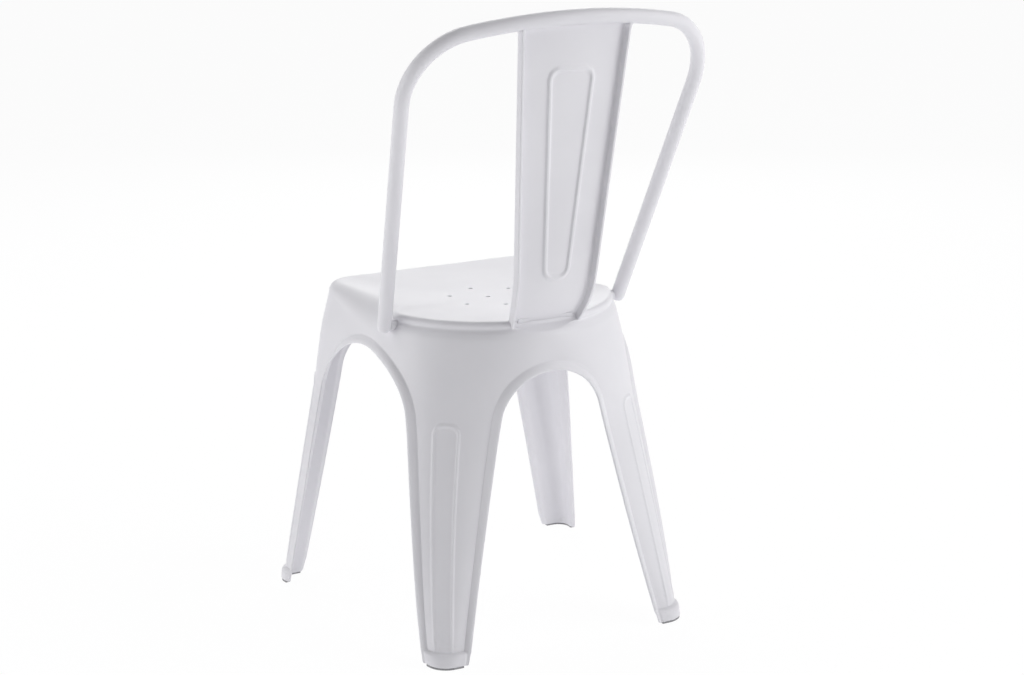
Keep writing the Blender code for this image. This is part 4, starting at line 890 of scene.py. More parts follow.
def drain_tree():
    """Holes: upright cylinders on the ring's corners and its middle, cut out of the shell."""
    tree, given = start_tree("drain_holes",
                             ("Hole Radius", "Ring Radius", "Cut Depth", "Cut Height", "Seat Middle"))
    ring = add_node(tree, "GeometryNodeMeshCircle",
                    {"Vertices": DRAIN_RING_HOLES, "Radius": given["Ring Radius"]})["Mesh"]
    middle = tree.nodes.new("GeometryNodePoints").outputs["Points"]
    both = add_node(tree, "GeometryNodeJoinGeometry", {"Geometry": [ring, middle]})["Geometry"]
    cutter = add_node(tree, "GeometryNodeMeshCylinder", {
        "Vertices": DRAIN_HOLE_SIDES, "Radius": given["Hole Radius"], "Depth": given["Cut Depth"]})["Mesh"]
    spread = add_node(tree, "GeometryNodeInstanceOnPoints", {"Points": both, "Instance": cutter})["Instances"]
    offset = add_node(tree, "ShaderNodeCombineXYZ", {"Y": given["Seat Middle"], "Z": given["Cut Height"]})["Vector"]
    place = add_node(tree, "GeometryNodeTransform", {"Rotation": (0.0, 0.0, DRAIN_RING_TURN), "Translation": offset,
                                                     "Geometry": spread})["Geometry"]
    solid = add_node(tree, "GeometryNodeRealizeInstances", {"Geometry": place})["Geometry"]
    cut = add_node(tree, "GeometryNodeMeshBoolean", {"Mesh 1": given["Geometry"], "Mesh 2": solid},
                   operation="DIFFERENCE", solver="EXACT")["Mesh"]
    finish_tree(tree, given, cut)
    return tree


shell.data = grow(drain_tree(), shell.data, {
    "Hole Radius": DRAIN_HOLE_RADIUS, "Ring Radius": DRAIN_RING_RADIUS, "Cut Depth": DRAIN_CUT_DEPTH,
    "Cut Height": SEAT_HEIGHT - SEAT_DISH, "Seat Middle": SEAT_MIDDLE_Y, "Material": white_plastic})
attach(shell, "root")
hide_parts("seat_shell")

# Back hoop
# Round bar of the same plastic, bent into an arch: two side bars that lean back and splay, tight bends and a
# slightly bowed top rail. Its rounded lower ends are screwed to lugs on the sides of the seat.
HOOP_RADIUS = 0.0096
RAIL_AXIS = SEAT_HEIGHT + 0.4082 - HOOP_RADIUS
HOOP_FOOT = SEAT_HEIGHT - 0.0245
HOOP_RAIL_RADIUS = 0.82
HOOP_BEND_RADIUS = 0.083
HOOP_SIDES = 40
HOOP_BAR_STEPS = 36
HOOP_BEND_STEPS = 40
HOOP_RAIL_STEPS = 30
HOOP_END_STEPS = 10
HOOP_END_STEP = math.radians(8.9)
FIT_GAP = 0.0003


def hoop_half_line():
    """Axis of half of the hoop, from the middle of its lower end's rounding to the middle of the top rail."""
    rail_z = RAIL_AXIS - HOOP_RAIL_RADIUS
    scale = math.hypot(1.0, HOOP_SPLAY)
    inward = Vector((-1.0 / scale, HOOP_SPLAY / scale))
    upward = Vector((HOOP_SPLAY / scale, 1.0 / scale))
    start = Vector((HOOP_HALF_AT_SEAT, SEAT_HEIGHT)) + inward * HOOP_BEND_RADIUS
    from_rail = start - Vector((0.0, rail_z))
    half_b = from_rail.dot(upward)
    reach = HOOP_RAIL_RADIUS - HOOP_BEND_RADIUS
    centre = start + upward * (-half_b + math.sqrt(half_b ** 2 - from_rail.dot(from_rail) + reach ** 2))
    first = math.atan2(-inward.y, -inward.x)
    last = math.atan2(centre.y - rail_z, centre.x)
    spring = centre - inward * HOOP_BEND_RADIUS
    line = []
    for i in range(HOOP_BAR_STEPS):
        z = blend(HOOP_FOOT + HOOP_RADIUS, spring.y, i / HOOP_BAR_STEPS)
        line.append((HOOP_HALF_AT_SEAT + HOOP_SPLAY * (z - SEAT_HEIGHT), z))
    for i in range(HOOP_BEND_STEPS + 1):
        angle = blend(first, last, i / HOOP_BEND_STEPS)
        line.append((centre.x + HOOP_BEND_RADIUS * math.cos(angle),
                     centre.y + HOOP_BEND_RADIUS * math.sin(angle)))
    for i in range(1, HOOP_RAIL_STEPS + 1):
        angle = blend(last, math.pi / 2.0, i / HOOP_RAIL_STEPS)
        line.append((HOOP_RAIL_RADIUS * math.cos(angle), rail_z + HOOP_RAIL_RADIUS * math.sin(angle)))
    return [hoop_point(x, z) for x, z in line]


def hoop_axis(grow_by):
    """Axis of the whole hoop as loose edges; the bar's radius at each point rounds off the two ends."""
    half = hoop_half_line()
    line = half + [mirrored(point, RIGHT) for point in reversed(half[:-1])]
    radius = HOOP_RADIUS + grow_by
    steps = [(point, radius) for point in line]
    for tip, step in ((line[0] - line[1], -1), (line[-1] - line[-2], 1)):
        end = line[0] if step < 0 else line[-1]
        cap = []
        for k in range(1, HOOP_END_STEPS + 1):
            angle = HOOP_END_STEP * k
            cap.append((end + tip.normalized() * (radius * math.sin(angle)), radius * math.cos(angle)))
        steps = cap[::-1] + steps if step < 0 else steps + cap
    bm = bmesh.new()
    layer = bm.verts.layers.float.new("bar_radius")
    verts = []
    for point, size in steps:
        verts.append(bm.verts.new(point))
        verts[-1][layer] = size
    for first, second in zip(verts, verts[1:]):
        bm.edges.new((first, second))
    return mesh_from("hoop_axis", bm)


def bar_tree():
    """Bar: a circle swept along the axis, as large as the axis points say."""
    tree, given = start_tree("bent_bar", ("Bar Sides",))
    line = add_node(tree, "GeometryNodeMeshToCurve", {"Mesh": given["Geometry"]})["Curve"]
    size = add_node(tree, "GeometryNodeInputNamedAttribute", {"Name": "bar_radius"}, data_type="FLOAT")["Attribute"]
    section = add_node(tree, "GeometryNodeCurvePrimitiveCircle",
                       {"Radius": 1.0, "Resolution": given["Bar Sides"]})["Curve"]
    sweep = add_node(tree, "GeometryNodeCurveToMesh", {"Fill Caps": True, "Curve": line, "Profile Curve": section,
                                                       "Scale": size})["Mesh"]
    finish_tree(tree, given, sweep)
    return tree


bent_bar = bar_tree()
bar_sizes = {"Bar Sides": float(HOOP_SIDES), "Material": white_plastic}
hoop = piece_from("back_hoop_bar", faced_outwards(grow(bent_bar, hoop_axis(0.0), bar_sizes)))
hoop_clearance = faced_outwards(grow(bent_bar, hoop_axis(FIT_GAP), bar_sizes))
combine(shell, piece_from("hoop_clearance", hoop_clearance), "DIFFERENCE")
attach(hoop, "root")
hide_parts("back_hoop")

# Back splat
# Tapered channel panel of the same plastic, flanges to the rear, with a raised closed loop bead that stiffens the
# plate. Its foot stands in a pocket of the rear rim and is screwed there; its top runs into the rail.
SPLAT_FOOT = SEAT_HEIGHT - 0.0093
SPLAT_REAR_AT_SEAT = SEAT_REAR_DEPTH - 0.006
SPLAT_FOOT_RISE = 0.0153
SPLAT_FOOT_SLOPE = 0.64
SPLAT_RAIL_SETBACK = 0.0071
SPLAT_BEND_RADIUS = 0.155
SPLAT_FOOT_HALF = 0.051
SPLAT_NECK_HALF = 0.0587
SPLAT_NECK_RISE = 0.056
SPLAT_TOP_HALF = 0.0782
SPLAT_DEPTH = 0.014
SPLAT_PLATE = 0.004
SPLAT_FLANGE = 0.0038
SPLAT_BOW = 0.004
SPLAT_EDGE_ROUND = 0.003
SPLAT_FLANGE_ROUND = 0.0011
SPLAT_FILLET = 0.0022
SPLAT_RECESS_ROUND = 0.006
SPLAT_RECESS_REACH = 0.02
SPLAT_RECESS_TOP = 0.47
TONGUE_HALF = 0.04
TONGUE_DROP = 0.022
LOOP_WIDTH = 0.008
LOOP_HEIGHT = 0.0022
LOOP_TOP_Z = RAIL_AXIS - 0.066
LOOP_BOTTOM_Z = SEAT_HEIGHT + 0.057
LOOP_TOP_HALF = 0.031
LOOP_BOTTOM_HALF = 0.0165
LOOP_CORNER = 0.014
RAIL_FILLET = 0.008
RAIL_SWELL = RAIL_FILLET / 4.0
RAIL_FILLET_DROP = 0.035
RAIL_FILLET_HALF = 0.1
SPLAT_FOOT_ROWS = 8
SPLAT_BEND_ROWS = 30
SPLAT_ROWS = 176
SPLAT_FRONT_COLUMNS = 24
SPLAT_REAR_COLUMNS = (14, 12, 10)
SPLAT_ROUND_STEPS = 6
SPLAT_TIP_STEPS = 4
RECESS_STEPS = 8
RECESS_COLUMNS = 12
POCKET_ROWS = 4
POCKET_TOP = 0.49
TONGUE_RISE = 0.009


def splat_top_z():
    """Height where the splat stops: the rail's axis over the splat's edges."""
    return RAIL_AXIS - (HOOP_RAIL_RADIUS - math.sqrt(HOOP_RAIL_RADIUS ** 2 - SPLAT_TOP_HALF ** 2))


def splat_line(run_steps):
    """Rear edge of the flanges at x = 0 as (y, z, lean): a slanting foot, a bend and a straight run."""
    low = math.atan(SPLAT_FOOT_SLOPE)
    rise = SPLAT_FOOT_RISE
    line = []
    for i in range(SPLAT_FOOT_ROWS):
        line.append((SPLAT_REAR_AT_SEAT + SPLAT_FOOT_SLOPE * rise * i / SPLAT_FOOT_ROWS,
                     SPLAT_FOOT + rise * i / SPLAT_FOOT_ROWS, low))
    centre_y = SPLAT_REAR_AT_SEAT + SPLAT_FOOT_SLOPE * rise - SPLAT_BEND_RADIUS * math.cos(low)
    centre_z = SPLAT_FOOT + rise + SPLAT_BEND_RADIUS * math.sin(low)
    top_z = splat_top_z()
    away_y = hoop_point(SPLAT_TOP_HALF, top_z).y + SPLAT_RAIL_SETBACK - centre_y
    away_z = top_z - centre_z
    high = math.acos(SPLAT_BEND_RADIUS / math.hypot(away_y, away_z)) - math.atan2(away_z, away_y)
    for i in range(SPLAT_BEND_ROWS + 1):
        angle = blend(low, high, i / SPLAT_BEND_ROWS)
        line.append((centre_y + SPLAT_BEND_RADIUS * math.cos(angle),
                     centre_z - SPLAT_BEND_RADIUS * math.sin(angle), angle))
    bend_y, bend_z, _ = line[-1]
    for i in range(1, run_steps + 1):
        z = blend(bend_z, top_z, i / run_steps)
        line.append((bend_y + math.tan(high) * (z - bend_z), z, high))
    return line


def splat_half(z):
    """Half width of the splat: it narrows from the rail to a neck, and rounds in below that."""
    neck_z = SEAT_HEIGHT + SPLAT_NECK_RISE
    if z >= neck_z:
        return blend(SPLAT_NECK_HALF, SPLAT_TOP_HALF, (z - neck_z) / (splat_top_z() - neck_z))
    return blend(SPLAT_NECK_HALF, SPLAT_FOOT_HALF, ((neck_z - z) / (neck_z - SPLAT_FOOT)) ** 2)


def loop_half(z):
    """Half spacing of the loop's two upright runs."""
    return blend(LOOP_BOTTOM_HALF, LOOP_TOP_HALF, (z - LOOP_BOTTOM_Z) / (LOOP_TOP_Z - LOOP_BOTTOM_Z))


def loop_rise(x, z):
    """Height of the loop bead over the rear of the plate."""
    beyond = max(z - LOOP_TOP_Z, LOOP_BOTTOM_Z - z)
    return LOOP_HEIGHT * bead_share(abs(x) - loop_half(z), beyond, LOOP_CORNER, LOOP_WIDTH)


def corner_arc(centre, radius, first, last, steps):
    """Points (x, depth) of a quarter round between two angles in degrees."""
    turns = [math.radians(blend(first, last, i / steps)) for i in range(steps + 1)]
    return [(centre[0] + radius * math.cos(a), centre[1] + radius * math.sin(a)) for a in turns]


def splat_bow(x, half):
    """Depth of the plate's front behind the middle of its bow."""
    return SPLAT_BOW * (1.0 - (x / half) ** 2)


def splat_section(half, z, spread):
    """Half of the channel's section, from the middle of its front to the middle of its rear, as (x, depth)."""
    outer = half + spread
    inner = half - SPLAT_FLANGE - spread
    edge, tip, fillet = SPLAT_EDGE_ROUND, SPLAT_FLANGE_ROUND, SPLAT_FILLET
    front = [(outer - edge) * i / SPLAT_FRONT_COLUMNS for i in range(SPLAT_FRONT_COLUMNS)]
    section = [(x, splat_bow(x, half) - spread) for x in front]
    section += corner_arc((outer - edge, edge - spread + splat_bow(outer - edge, half)), edge, -90.0, 0.0,
                          SPLAT_ROUND_STEPS)
    rear = SPLAT_DEPTH + spread
    section += corner_arc((outer - tip, rear - tip), tip, 0.0, 90.0, SPLAT_TIP_STEPS)
    section += corner_arc((inner + tip, rear - tip), tip, 90.0, 180.0, SPLAT_TIP_STEPS)
    plate = splat_bow(inner - fillet, half) + SPLAT_PLATE + spread
    section += corner_arc((inner - fillet, plate + fillet), fillet, 0.0, -90.0, SPLAT_ROUND_STEPS)
    line = loop_half(min(max(z, LOOP_BOTTOM_Z), LOOP_TOP_Z))
    stops = (inner - fillet, line + LOOP_WIDTH / 2.0, line - LOOP_WIDTH / 2.0, 0.0)
    for start, end, count in zip(stops, stops[1:], SPLAT_REAR_COLUMNS):
        for i in range(1, count + 1):
            x = blend(start, end, i / count)
            rise = 0.0 if spread else loop_rise(x, z)
            section.append((x, splat_bow(x, half) + SPLAT_PLATE + spread + rise))
    return section


def leaning(y, z, lean, section):
    """Section in space, its rear flange edge at (y, z), leaning back."""
    back = Vector((0.0, math.cos(lean), -math.sin(lean)))
    corner = Vector((0.0, y, z)) - back * SPLAT_DEPTH
    return [corner + Vector((x, 0.0, 0.0)) + back * depth for x, depth in section]


def splat_ring(y, z, lean, spread):
    """Whole section of the channel at one place of its rear edge."""
    half = splat_section(splat_half(z), z, spread)
    return leaning(y, z, lean, half + [(-x, depth) for x, depth in half[-2:0:-1]])


def splat_recess():
    """Room behind the plate, between the flanges, down to a ledge that curves out to the apron."""
    y, z, lean = splat_line(POCKET_ROWS)[0]
    steps = []
    for i in range(RECESS_STEPS + 1):
        angle = math.pi / 2.0 * (1.0 - i / RECESS_STEPS)
        up = SPLAT_RECESS_ROUND * (1.0 - math.sin(angle))
        steps.append((y + math.sin(lean) * up, z + math.cos(lean) * up, lean,
                      SPLAT_RECESS_ROUND * (1.0 - math.cos(angle))))
    steps += [(*step, 0.0) for step in splat_line(POCKET_ROWS) if steps[-1][1] < step[1] < SPLAT_RECESS_TOP]
    bm = bmesh.new()
    rings = []
    for y, z, lean, inset in steps:
        half = splat_half(z)
        reach = half - SPLAT_FLANGE / 2.0
        section = [(reach, SPLAT_DEPTH + SPLAT_RECESS_REACH), (-reach, SPLAT_DEPTH + SPLAT_RECESS_REACH)]
        for i in range(-RECESS_COLUMNS, RECESS_COLUMNS + 1):
            x = reach * i / RECESS_COLUMNS
            section.append((x, splat_bow(x, half) + SPLAT_PLATE + inset))
        rings.append(leaning(y, z, lean, section))
    loft(bm, rings)
    return piece_from("splat_recess", mesh_from("splat_recess", bm))


def splat_tongue(spread):
    """Flat tongue under the plate, from inside the splat's foot down into the seat's pocket."""
    y, z, lean = splat_line(POCKET_ROWS)[0]
    back = Vector((0.0, math.cos(lean), -math.sin(lean)))
    up = Vector((0.0, math.sin(lean), math.cos(lean)))
    middle = Vector((0.0, y, z)) - back * (SPLAT_DEPTH - SPLAT_BOW - SPLAT_PLATE / 2.0)
    depth = SPLAT_PLATE / 2.0 - SPLAT_BOW / 8.0 + spread
    half = TONGUE_HALF + spread
    bm = bmesh.new()
    loft(bm, [[middle - up * run + Vector((a * half, 0.0, 0.0)) + back * (b * depth)
               for a, b in ((-1, -1), (1, -1), (1, 1), (-1, 1))] for run in (-TONGUE_RISE, TONGUE_DROP + spread)])
    return piece_from("splat_tongue", mesh_from("splat_tongue", bm))


def rail_distance(point, line):
    """Distance of a point from the hoop's surface near the rail."""
    best = 1.0
    for a, b in zip(line, line[1:]):
        along = b - a
        share = min(1.0, max(0.0, (point - a).dot(along) / along.dot(along)))
        best = min(best, (point - a - along * share).length)
    return best - HOOP_RADIUS


def splat_mesh():
    """Fine channel panel whose rear and front swell softly into the rail."""
    bm = bmesh.new()
    loft(bm, [splat_ring(y, z, lean, 0.0) for y, z, lean in splat_line(SPLAT_ROWS)])
    bmesh.ops.recalc_face_normals(bm, faces=bm.faces)
    bm.normal_update()
    half = [point for point in hoop_half_line() if point.x < RAIL_FILLET_HALF]
    rail = half + [mirrored(point, RIGHT) for point in reversed(half[:-1])]
    moves = []
    for vert in bm.verts:
        if vert.co.z < RAIL_AXIS - RAIL_FILLET_DROP:
            continue
        away = rail_distance(vert.co, rail)
        if 0.0 <= away < RAIL_FILLET:
            moves.append((vert, vert.normal * (RAIL_SWELL * (1.0 - away / RAIL_FILLET) ** 2)))
    for vert, move in moves:
        vert.co += move
    return mesh_from("back_splat_panel", bm)


splat = piece_from("back_splat_panel", splat_mesh(), white_plastic)
combine(splat, splat_tongue(0.0), "UNION")
pocket_bm = bmesh.new()
loft(pocket_bm, [splat_ring(*step, FIT_GAP) for step in splat_line(POCKET_ROWS) if step[1] < POCKET_TOP])
combine(shell, piece_from("splat_pocket", mesh_from("splat_pocket", pocket_bm)), "DIFFERENCE")
combine(shell, splat_tongue(FIT_GAP), "DIFFERENCE")
combine(shell, splat_recess(), "DIFFERENCE")
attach(splat, "root")
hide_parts("back_splat")

# Screws and washers
# Zinc plated steel: two pan-head screws with flat washers hold the hoop's ends from inside the seat, and two
# smaller ones go through the rear block into the splat's tongue. Bought in, with cross recesses and rolled threads.
HOOP_SCREW_RADIUS = 0.0025
HOOP_SCREW_HEAD_RADIUS = 0.00475
HOOP_SCREW_HEAD_HEIGHT = 0.0034
HOOP_SCREW_BITE = 0.006
WASHER_RADIUS = 0.006
WASHER_THICKNESS = 0.001
SPLAT_SCREW_HALF_SPACING = 0.03
SPLAT_SCREW_RADIUS = 0.002
SPLAT_SCREW_HEAD_RADIUS = 0.0036
SPLAT_SCREW_HEAD_HEIGHT = 0.0028
SPLAT_SCREW_DROP = 0.0235
SPLAT_SCREW_BITE = 0.001
THREAD_DEPTH = 0.0004
THREAD_PITCH = 0.0012
THREAD_TURN_STEPS = 20
THREAD_SIDES = 5
SCREW_HEAD_SIDES = 32
SCREW_CORE_SIDES = 24
HEAD_TOP_SHARE = 0.8
RECESS_LENGTH_SHARE = 1.1
RECESS_WIDTH_SHARE = 0.26
WASHER_SIDES = 48
PLASTIC_CREASE = 48.0
SPLAT_CREASE = 40.0
TURN_LEFT = (0.0, math.radians(90.0), 0.0)
TURN_RIGHT = (0.0, math.radians(-90.0), 0.0)
TURN_REAR = (math.radians(-90.0), 0.0, 0.0)


def fixing_points(places):
    """Points for fixings, each with the turn that lays its axis along the hole."""
    bm = bmesh.new()
    layer = bm.verts.layers.float_vector.new("turn")
    for place, turn in places:
        bm.verts.new(place)[layer] = turn
    return mesh_from("fixing_points", bm)


def set_on_points(tree, given, shape):
    """Put a shape on every point, turned as the point says, and close the tree."""
    turn = add_node(tree, "GeometryNodeInputNamedAttribute", {"Name": "turn"},
                    data_type="FLOAT_VECTOR")["Attribute"]
    spread = add_node(tree, "GeometryNodeInstanceOnPoints",
                      {"Points": given["Geometry"], "Instance": shape, "Rotation": turn})["Instances"]
    finish_tree(tree, given, spread)


def screw_tree():
    """Pan-head screws: tapered head with a cross recess, a core and a thread wound round it."""
    tree, given = start_tree("screws", (
        "Head Radius", "Head Top Radius", "Head Height", "Recess Length", "Recess Width", "Recess Place",
        "Core Radius", "Length", "Half Length", "Thread Radius", "Thread Turns", "Thread Size"))
    head = add_node(tree, "GeometryNodeMeshCone", {
        "Vertices": SCREW_HEAD_SIDES, "Radius Bottom": given["Head Radius"], "Radius Top": given["Head Top Radius"],
        "Depth": given["Head Height"]})["Mesh"]
    turned = add_node(tree, "GeometryNodeTransform",
                      {"Rotation": (math.pi, 0.0, 0.0), "Geometry": head})["Geometry"]
    slot_size = add_node(tree, "ShaderNodeCombineXYZ", {"X": given["Recess Length"], "Y": given["Recess Width"],
                                                        "Z": given["Head Height"]})["Vector"]
    slot = add_node(tree, "GeometryNodeMeshCube", {"Size": slot_size})["Mesh"]
    slot_place = add_node(tree, "ShaderNodeCombineXYZ", {"Z": given["Recess Place"]})["Vector"]
    slots = []
    for angle in (0.0, math.radians(90.0)):
        slots.append(add_node(tree, "GeometryNodeTransform", {"Rotation": (0.0, 0.0, angle), "Geometry": slot,
                                                              "Translation": slot_place})["Geometry"])
    cut = add_node(tree, "GeometryNodeMeshBoolean", {"Mesh 1": turned, "Mesh 2": slots},
                   operation="DIFFERENCE", solver="EXACT")["Mesh"]
    core = add_node(tree, "GeometryNodeMeshCylinder", {"Vertices": SCREW_CORE_SIDES, "Radius": given["Core Radius"],
                                                       "Depth": given["Length"]})["Mesh"]
    core_place = add_node(tree, "ShaderNodeCombineXYZ", {"Z": given["Half Length"]})["Vector"]
    shank = add_node(tree, "GeometryNodeTransform", {"Translation": core_place, "Geometry": core})["Geometry"]
    coil = add_node(tree, "GeometryNodeCurveSpiral", {
        "Resolution": THREAD_TURN_STEPS, "Rotations": given["Thread Turns"], "Start Radius": given["Thread Radius"],
        "End Radius": given["Thread Radius"], "Height": given["Length"]})["Curve"]
    ridge = add_node(tree, "GeometryNodeCurvePrimitiveCircle",
                     {"Resolution": THREAD_SIDES, "Radius": given["Thread Size"]})["Curve"]
    thread = add_node(tree, "GeometryNodeCurveToMesh",
                      {"Fill Caps": True, "Curve": coil, "Profile Curve": ridge})["Mesh"]
    whole = add_node(tree, "GeometryNodeJoinGeometry", {"Geometry": [cut, shank, thread]})["Geometry"]
    set_on_points(tree, given, whole)
    return tree


def washer_tree():
    """Flat washers: a rectangle swept round a circle."""
    tree, given = start_tree("washers", ("Ring Radius", "Ring Width", "Ring Thickness"))
    ring = add_node(tree, "GeometryNodeCurvePrimitiveCircle",
                    {"Resolution": WASHER_SIDES, "Radius": given["Ring Radius"]})["Curve"]
    section = add_node(tree, "GeometryNodeCurvePrimitiveQuadrilateral",
                       {"Width": given["Ring Width"], "Height": given["Ring Thickness"]})["Curve"]
    sweep = add_node(tree, "GeometryNodeCurveToMesh", {"Curve": ring, "Profile Curve": section})["Mesh"]
    set_on_points(tree, given, sweep)
    return tree


def zinc_plated_steel():
    """Zinc plate: pale metal, cloudy in colour and shine, with a fine grain."""
    material, tree, shader, place = start_material("zinc_plated_steel", {"Metallic": 0.9})
    cloud = noise(tree, place, scale=420.0, detail=4.0)
    tint = two_tones(tree, cloud, (0.3, (0.5, 0.51, 0.52)), (0.7, (0.68, 0.69, 0.71)))
    dress(tree, shader, tint, cloud, 0.3, 0.55, noise(tree, place, scale=2600.0), 0.1, 0.0002)
    return material


def screw_sizes(radius, head_radius, head_height, length):
    """Inputs of the screw tree for one size of screw."""
    return {"Head Radius": head_radius, "Head Top Radius": HEAD_TOP_SHARE * head_radius, "Head Height": head_height,
            "Recess Length": RECESS_LENGTH_SHARE * head_radius, "Recess Width": RECESS_WIDTH_SHARE * head_radius,
            "Recess Place": -head_height, "Core Radius": radius - THREAD_DEPTH, "Length": length,
            "Half Length": length / 2.0, "Thread Radius": radius - THREAD_DEPTH,
            "Thread Turns": length / THREAD_PITCH, "Thread Size": THREAD_DEPTH, "Material": zinc_steel}


zinc_steel = zinc_plated_steel()
hoop_heads, hoop_rings = [], []
for side, turn in ((LEFT, TURN_LEFT), (RIGHT, TURN_RIGHT)):
    reach = Vector((side, 0.0, 0.0))
    place = hoop_fix_place(side, HOOP_SCREW_DROP)
    washer_middle = place - reach * (HOOP_BOSS_LENGTH + FIT_GAP + WASHER_THICKNESS / 2.0)
    head_seat = washer_middle - reach * (WASHER_THICKNESS / 2.0 + FIT_GAP)
    bite = place + reach * (HOOP_SCREW_BITE + FIT_GAP)
    hoop_rings.append((washer_middle, turn))
    hoop_heads.append((head_seat, turn))
    for piece in (shell, hoop):
        combine(piece, round_bar("hoop_screw_hole", head_seat, bite, HOOP_SCREW_RADIUS + FIT_GAP), "DIFFERENCE")
foot_y, foot_z, foot_lean = splat_line(POCKET_ROWS)[0]
tongue_back = SPLAT_DEPTH - SPLAT_BOW - SPLAT_PLATE / 2.0
screw_z = SEAT_HEIGHT - SPLAT_SCREW_DROP
screw_fall = foot_z + tongue_back * math.sin(foot_lean) - screw_z
tongue_y = foot_y - tongue_back * math.cos(foot_lean) - screw_fall * math.tan(foot_lean)
splat_heads = []
for side in (LEFT, RIGHT):
    head_seat = Vector((side * SPLAT_SCREW_HALF_SPACING, SPLAT_BOSS_FRONT - FIT_GAP, screw_z))
    tip = Vector((head_seat.x, tongue_y + SPLAT_PLATE - SPLAT_SCREW_BITE, screw_z))
    splat_heads.append((head_seat, TURN_REAR))
    for piece in (shell, splat):
        combine(piece, round_bar("splat_screw_hole", head_seat, tip, SPLAT_SCREW_RADIUS + FIT_GAP), "DIFFERENCE")
for piece, crease in ((shell, PLASTIC_CREASE), (hoop, PLASTIC_CREASE), (splat, SPLAT_CREASE)):
    piece.data.shade_smooth()
    piece.data.set_sharp_from_angle(angle=math.radians(crease))
screws = screw_tree()
hoop_screw_length = HOOP_BOSS_LENGTH + HOOP_SCREW_BITE + WASHER_THICKNESS + FIT_GAP
hoop_screws = piece_from("hoop_screws", grow(screws, fixing_points(hoop_heads), screw_sizes(
    HOOP_SCREW_RADIUS, HOOP_SCREW_HEAD_RADIUS, HOOP_SCREW_HEAD_HEIGHT, hoop_screw_length)))
splat_screws = piece_from("splat_screws", grow(screws, fixing_points(splat_heads), screw_sizes(
    SPLAT_SCREW_RADIUS, SPLAT_SCREW_HEAD_RADIUS, SPLAT_SCREW_HEAD_HEIGHT, tip.y - head_seat.y)))
washer_bore = HOOP_SCREW_RADIUS + FIT_GAP
hoop_washers = piece_from("hoop_washers", faced_outwards(grow(washer_tree(), fixing_points(hoop_rings), {
    "Ring Radius": (WASHER_RADIUS + washer_bore) / 2.0, "Ring Width": WASHER_RADIUS - washer_bore,
    "Ring Thickness": WASHER_THICKNESS, "Material": zinc_steel})))
for piece, word in ((hoop_screws, "hoop_screw"), (splat_screws, "splat_screw"), (hoop_washers, "hoop_washer")):
    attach(piece, "root")
    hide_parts(word + "_left", word + "_right")

# Foot pads
# Thin strips of grey elastomer under the four feet, cut from sheet and bonded on; they keep their solid shape.
# Their dark grey also paints the contact shade that lies under each foot.


def grey_pad():
    """Matt grey elastomer: speckled, dusty in places, slightly rough. Its dark grey is partly the pads' own colour
    and partly painted contact shade under the feet.
    """
    material, tree, shader, place = start_material("grey_pad", {"Specular IOR Level": 0.3})
    dust = noise(tree, place, scale=240.0, detail=5.0)
    # Dark grey tones: the pad's own colour, darkened to paint the contact shade under each foot.
    tint = two_tones(tree, dust, (0.35, (0.27, 0.27, 0.28)), (0.75, (0.42, 0.42, 0.43)))
    dress(tree, shader, tint, dust, 0.6, 0.85, dust, 0.2, 0.0002)
    return material


# The pads' dark grey also paints the contact shade under the four feet.
pad_material = grey_pad()
for word in ("front_left", "front_right", "rear_left", "rear_right"):
    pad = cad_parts["foot_pad_" + word]
    for pad_slot in pad.material_slots:
        pad_slot.link = "OBJECT"
        pad_slot.material = pad_material

# Floor, light and camera
# White studio sweep that glows a little, as a lit backdrop does, soft square lamps round the chair, and the camera
# behind the chair, a little above the seat.
FLOOR_SIZE = 60.0
FLOOR_WHITE_SHARE = 0.93


def seen_share(tree):
    """1 for what the camera sees, also mirrored or through something clear, and 0 for light on the chair."""
    path = tree.nodes.new("ShaderNodeLightPath").outputs
    bent = add_node(tree, "ShaderNodeMath", {0: path["Is Glossy Ray"], 1: path["Is Transmission Ray"]},
                    operation="MAXIMUM")["Value"]
    return add_node(tree, "ShaderNodeMath", {0: path["Is Camera Ray"], 1: bent}, operation="MAXIMUM")["Value"]


def soft_lamp(name, place, aim, size, power):
    """Square lamp that points at a spot on the chair."""
    data = bpy.data.lights.new(name, "AREA")
    data.size = size
    data.energy = power
    lamp = bpy.data.objects.new(name, data)
    lamp.location = place
    lamp.rotation_euler = (Vector(aim) - Vector(place)).to_track_quat("-Z", "Y").to_euler()
    bpy.context.scene.collection.objects.link(lamp)


bpy.ops.mesh.primitive_plane_add(size=FLOOR_SIZE)
floor = bpy.context.object
floor.name = "studio_floor"
floor_material = bpy.data.materials.new("studio_floor")
floor_material.use_nodes = True
floor_tree = floor_material.node_tree
floor_shader = floor_tree.nodes["Principled BSDF"]
for socket, value in (("Base Color", (0.86, 0.86, 0.87, 1.0)), ("Roughness", 0.9),
                      ("Emission Color", (1.0, 1.0, 1.0, 1.0)), ("Emission Strength", 0.35)):
    floor_shader.inputs[socket].default_value = value
floor_white = add_node(floor_tree, "ShaderNodeEmission", {"Strength": 1.0})["Emission"]
floor_share = add_node(floor_tree, "ShaderNodeMath", {0: seen_share(floor_tree), 1: FLOOR_WHITE_SHARE},
                       operation="MULTIPLY")["Value"]
floor_mix = add_node(floor_tree, "ShaderNodeMixShader", {0: floor_share, 1: floor_shader.outputs["BSDF"],
                                                         2: floor_white})["Shader"]
floor_tree.links.new(floor_mix, floor_tree.nodes["Material Output"].inputs["Surface"])
floor.data.materials.append(floor_material)

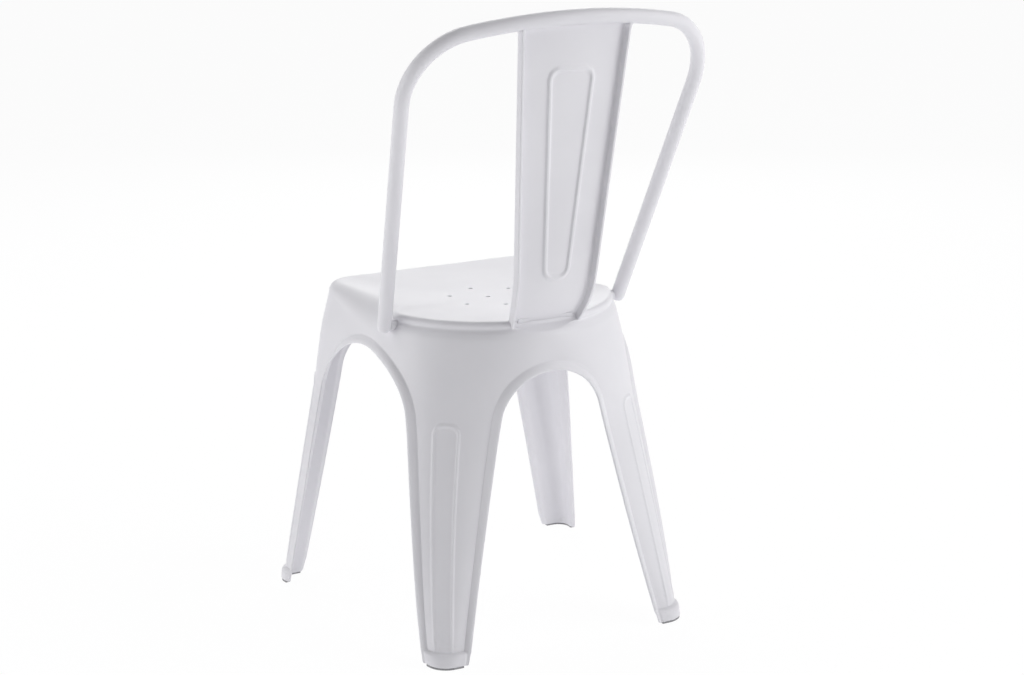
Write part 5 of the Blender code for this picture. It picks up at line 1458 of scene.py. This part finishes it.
soft_lamp("high_right_lamp", (-2.2, 1.2, 2.6), (0.0, 0.0, 0.4), 1.8, 31.0)
soft_lamp("rear_right_lamp", (-1.6, 2.2, 1.2), (0.0, 0.0, 0.4), 1.6, 24.0)
soft_lamp("front_right_lamp", (-1.6, -2.6, 1.6), (0.0, 0.0, 0.4), 2.2, 21.0)
soft_lamp("high_front_lamp", (0.0, -2.0, 2.6), (0.0, 0.0, 0.4), 2.0, 21.0)
soft_lamp("front_left_lamp", (2.4, -1.6, 1.8), (0.0, 0.0, 0.4), 2.2, 15.0)
soft_lamp("low_left_lamp", (2.4, -0.4, 0.6), (0.0, 0.0, 0.3), 1.4, 16.0)

world = bpy.data.worlds.new("studio")
bpy.context.scene.world = world
world.use_nodes = True
sky_tree = world.node_tree
sky_seen = sky_tree.nodes["Background"]
sky_seen.inputs["Color"].default_value = (1.0, 1.0, 1.0, 1.0)
sky_seen.inputs["Strength"].default_value = 1.0
sky_light = add_node(sky_tree, "ShaderNodeBackground", {"Color": (0.96, 0.96, 1.0, 1.0), "Strength": 0.12})
sky_mix = add_node(sky_tree, "ShaderNodeMixShader", {0: seen_share(sky_tree), 1: sky_light["Background"],
                                                     2: sky_seen.outputs["Background"]})["Shader"]
sky_tree.links.new(sky_mix, sky_tree.nodes["World Output"].inputs["Surface"])

CAMERA_DISTANCE = 3.0
CAMERA_TURN = math.radians(28.071)
CAMERA_RISE = math.radians(14.9)
CAMERA_ROLL = math.radians(-0.425)
CAMERA_AIM = Vector((-0.037, SEAT_MIDDLE_Y, 0.371))
CAMERA_SENSOR = 36.0
FOCAL_PIXELS = 2165.37
PICTURE_WIDTH = 1024.0
CAMERA_LENS = FOCAL_PIXELS * CAMERA_SENSOR / PICTURE_WIDTH
camera_back = Vector((math.sin(CAMERA_TURN) * math.cos(CAMERA_RISE), math.cos(CAMERA_TURN) * math.cos(CAMERA_RISE),
                      math.sin(CAMERA_RISE)))
camera_right = Vector((0.0, 0.0, 1.0)).cross(camera_back).normalized()
camera_up = camera_back.cross(camera_right)
rolled_right = camera_right * math.cos(CAMERA_ROLL) + camera_up * math.sin(CAMERA_ROLL)
rolled_up = camera_up * math.cos(CAMERA_ROLL) - camera_right * math.sin(CAMERA_ROLL)
camera_data = bpy.data.cameras.new("camera")
camera_data.sensor_width = CAMERA_SENSOR
camera_data.lens = CAMERA_LENS
camera = bpy.data.objects.new("camera", camera_data)
bpy.context.scene.collection.objects.link(camera)
camera_place = CAMERA_AIM + camera_back * CAMERA_DISTANCE
camera.matrix_world = Matrix.Translation(camera_place) @ Matrix(
    (rolled_right, rolled_up, camera_back)).transposed().to_4x4()
bpy.context.scene.camera = camera
bpy.context.scene.view_settings.view_transform = "Standard"
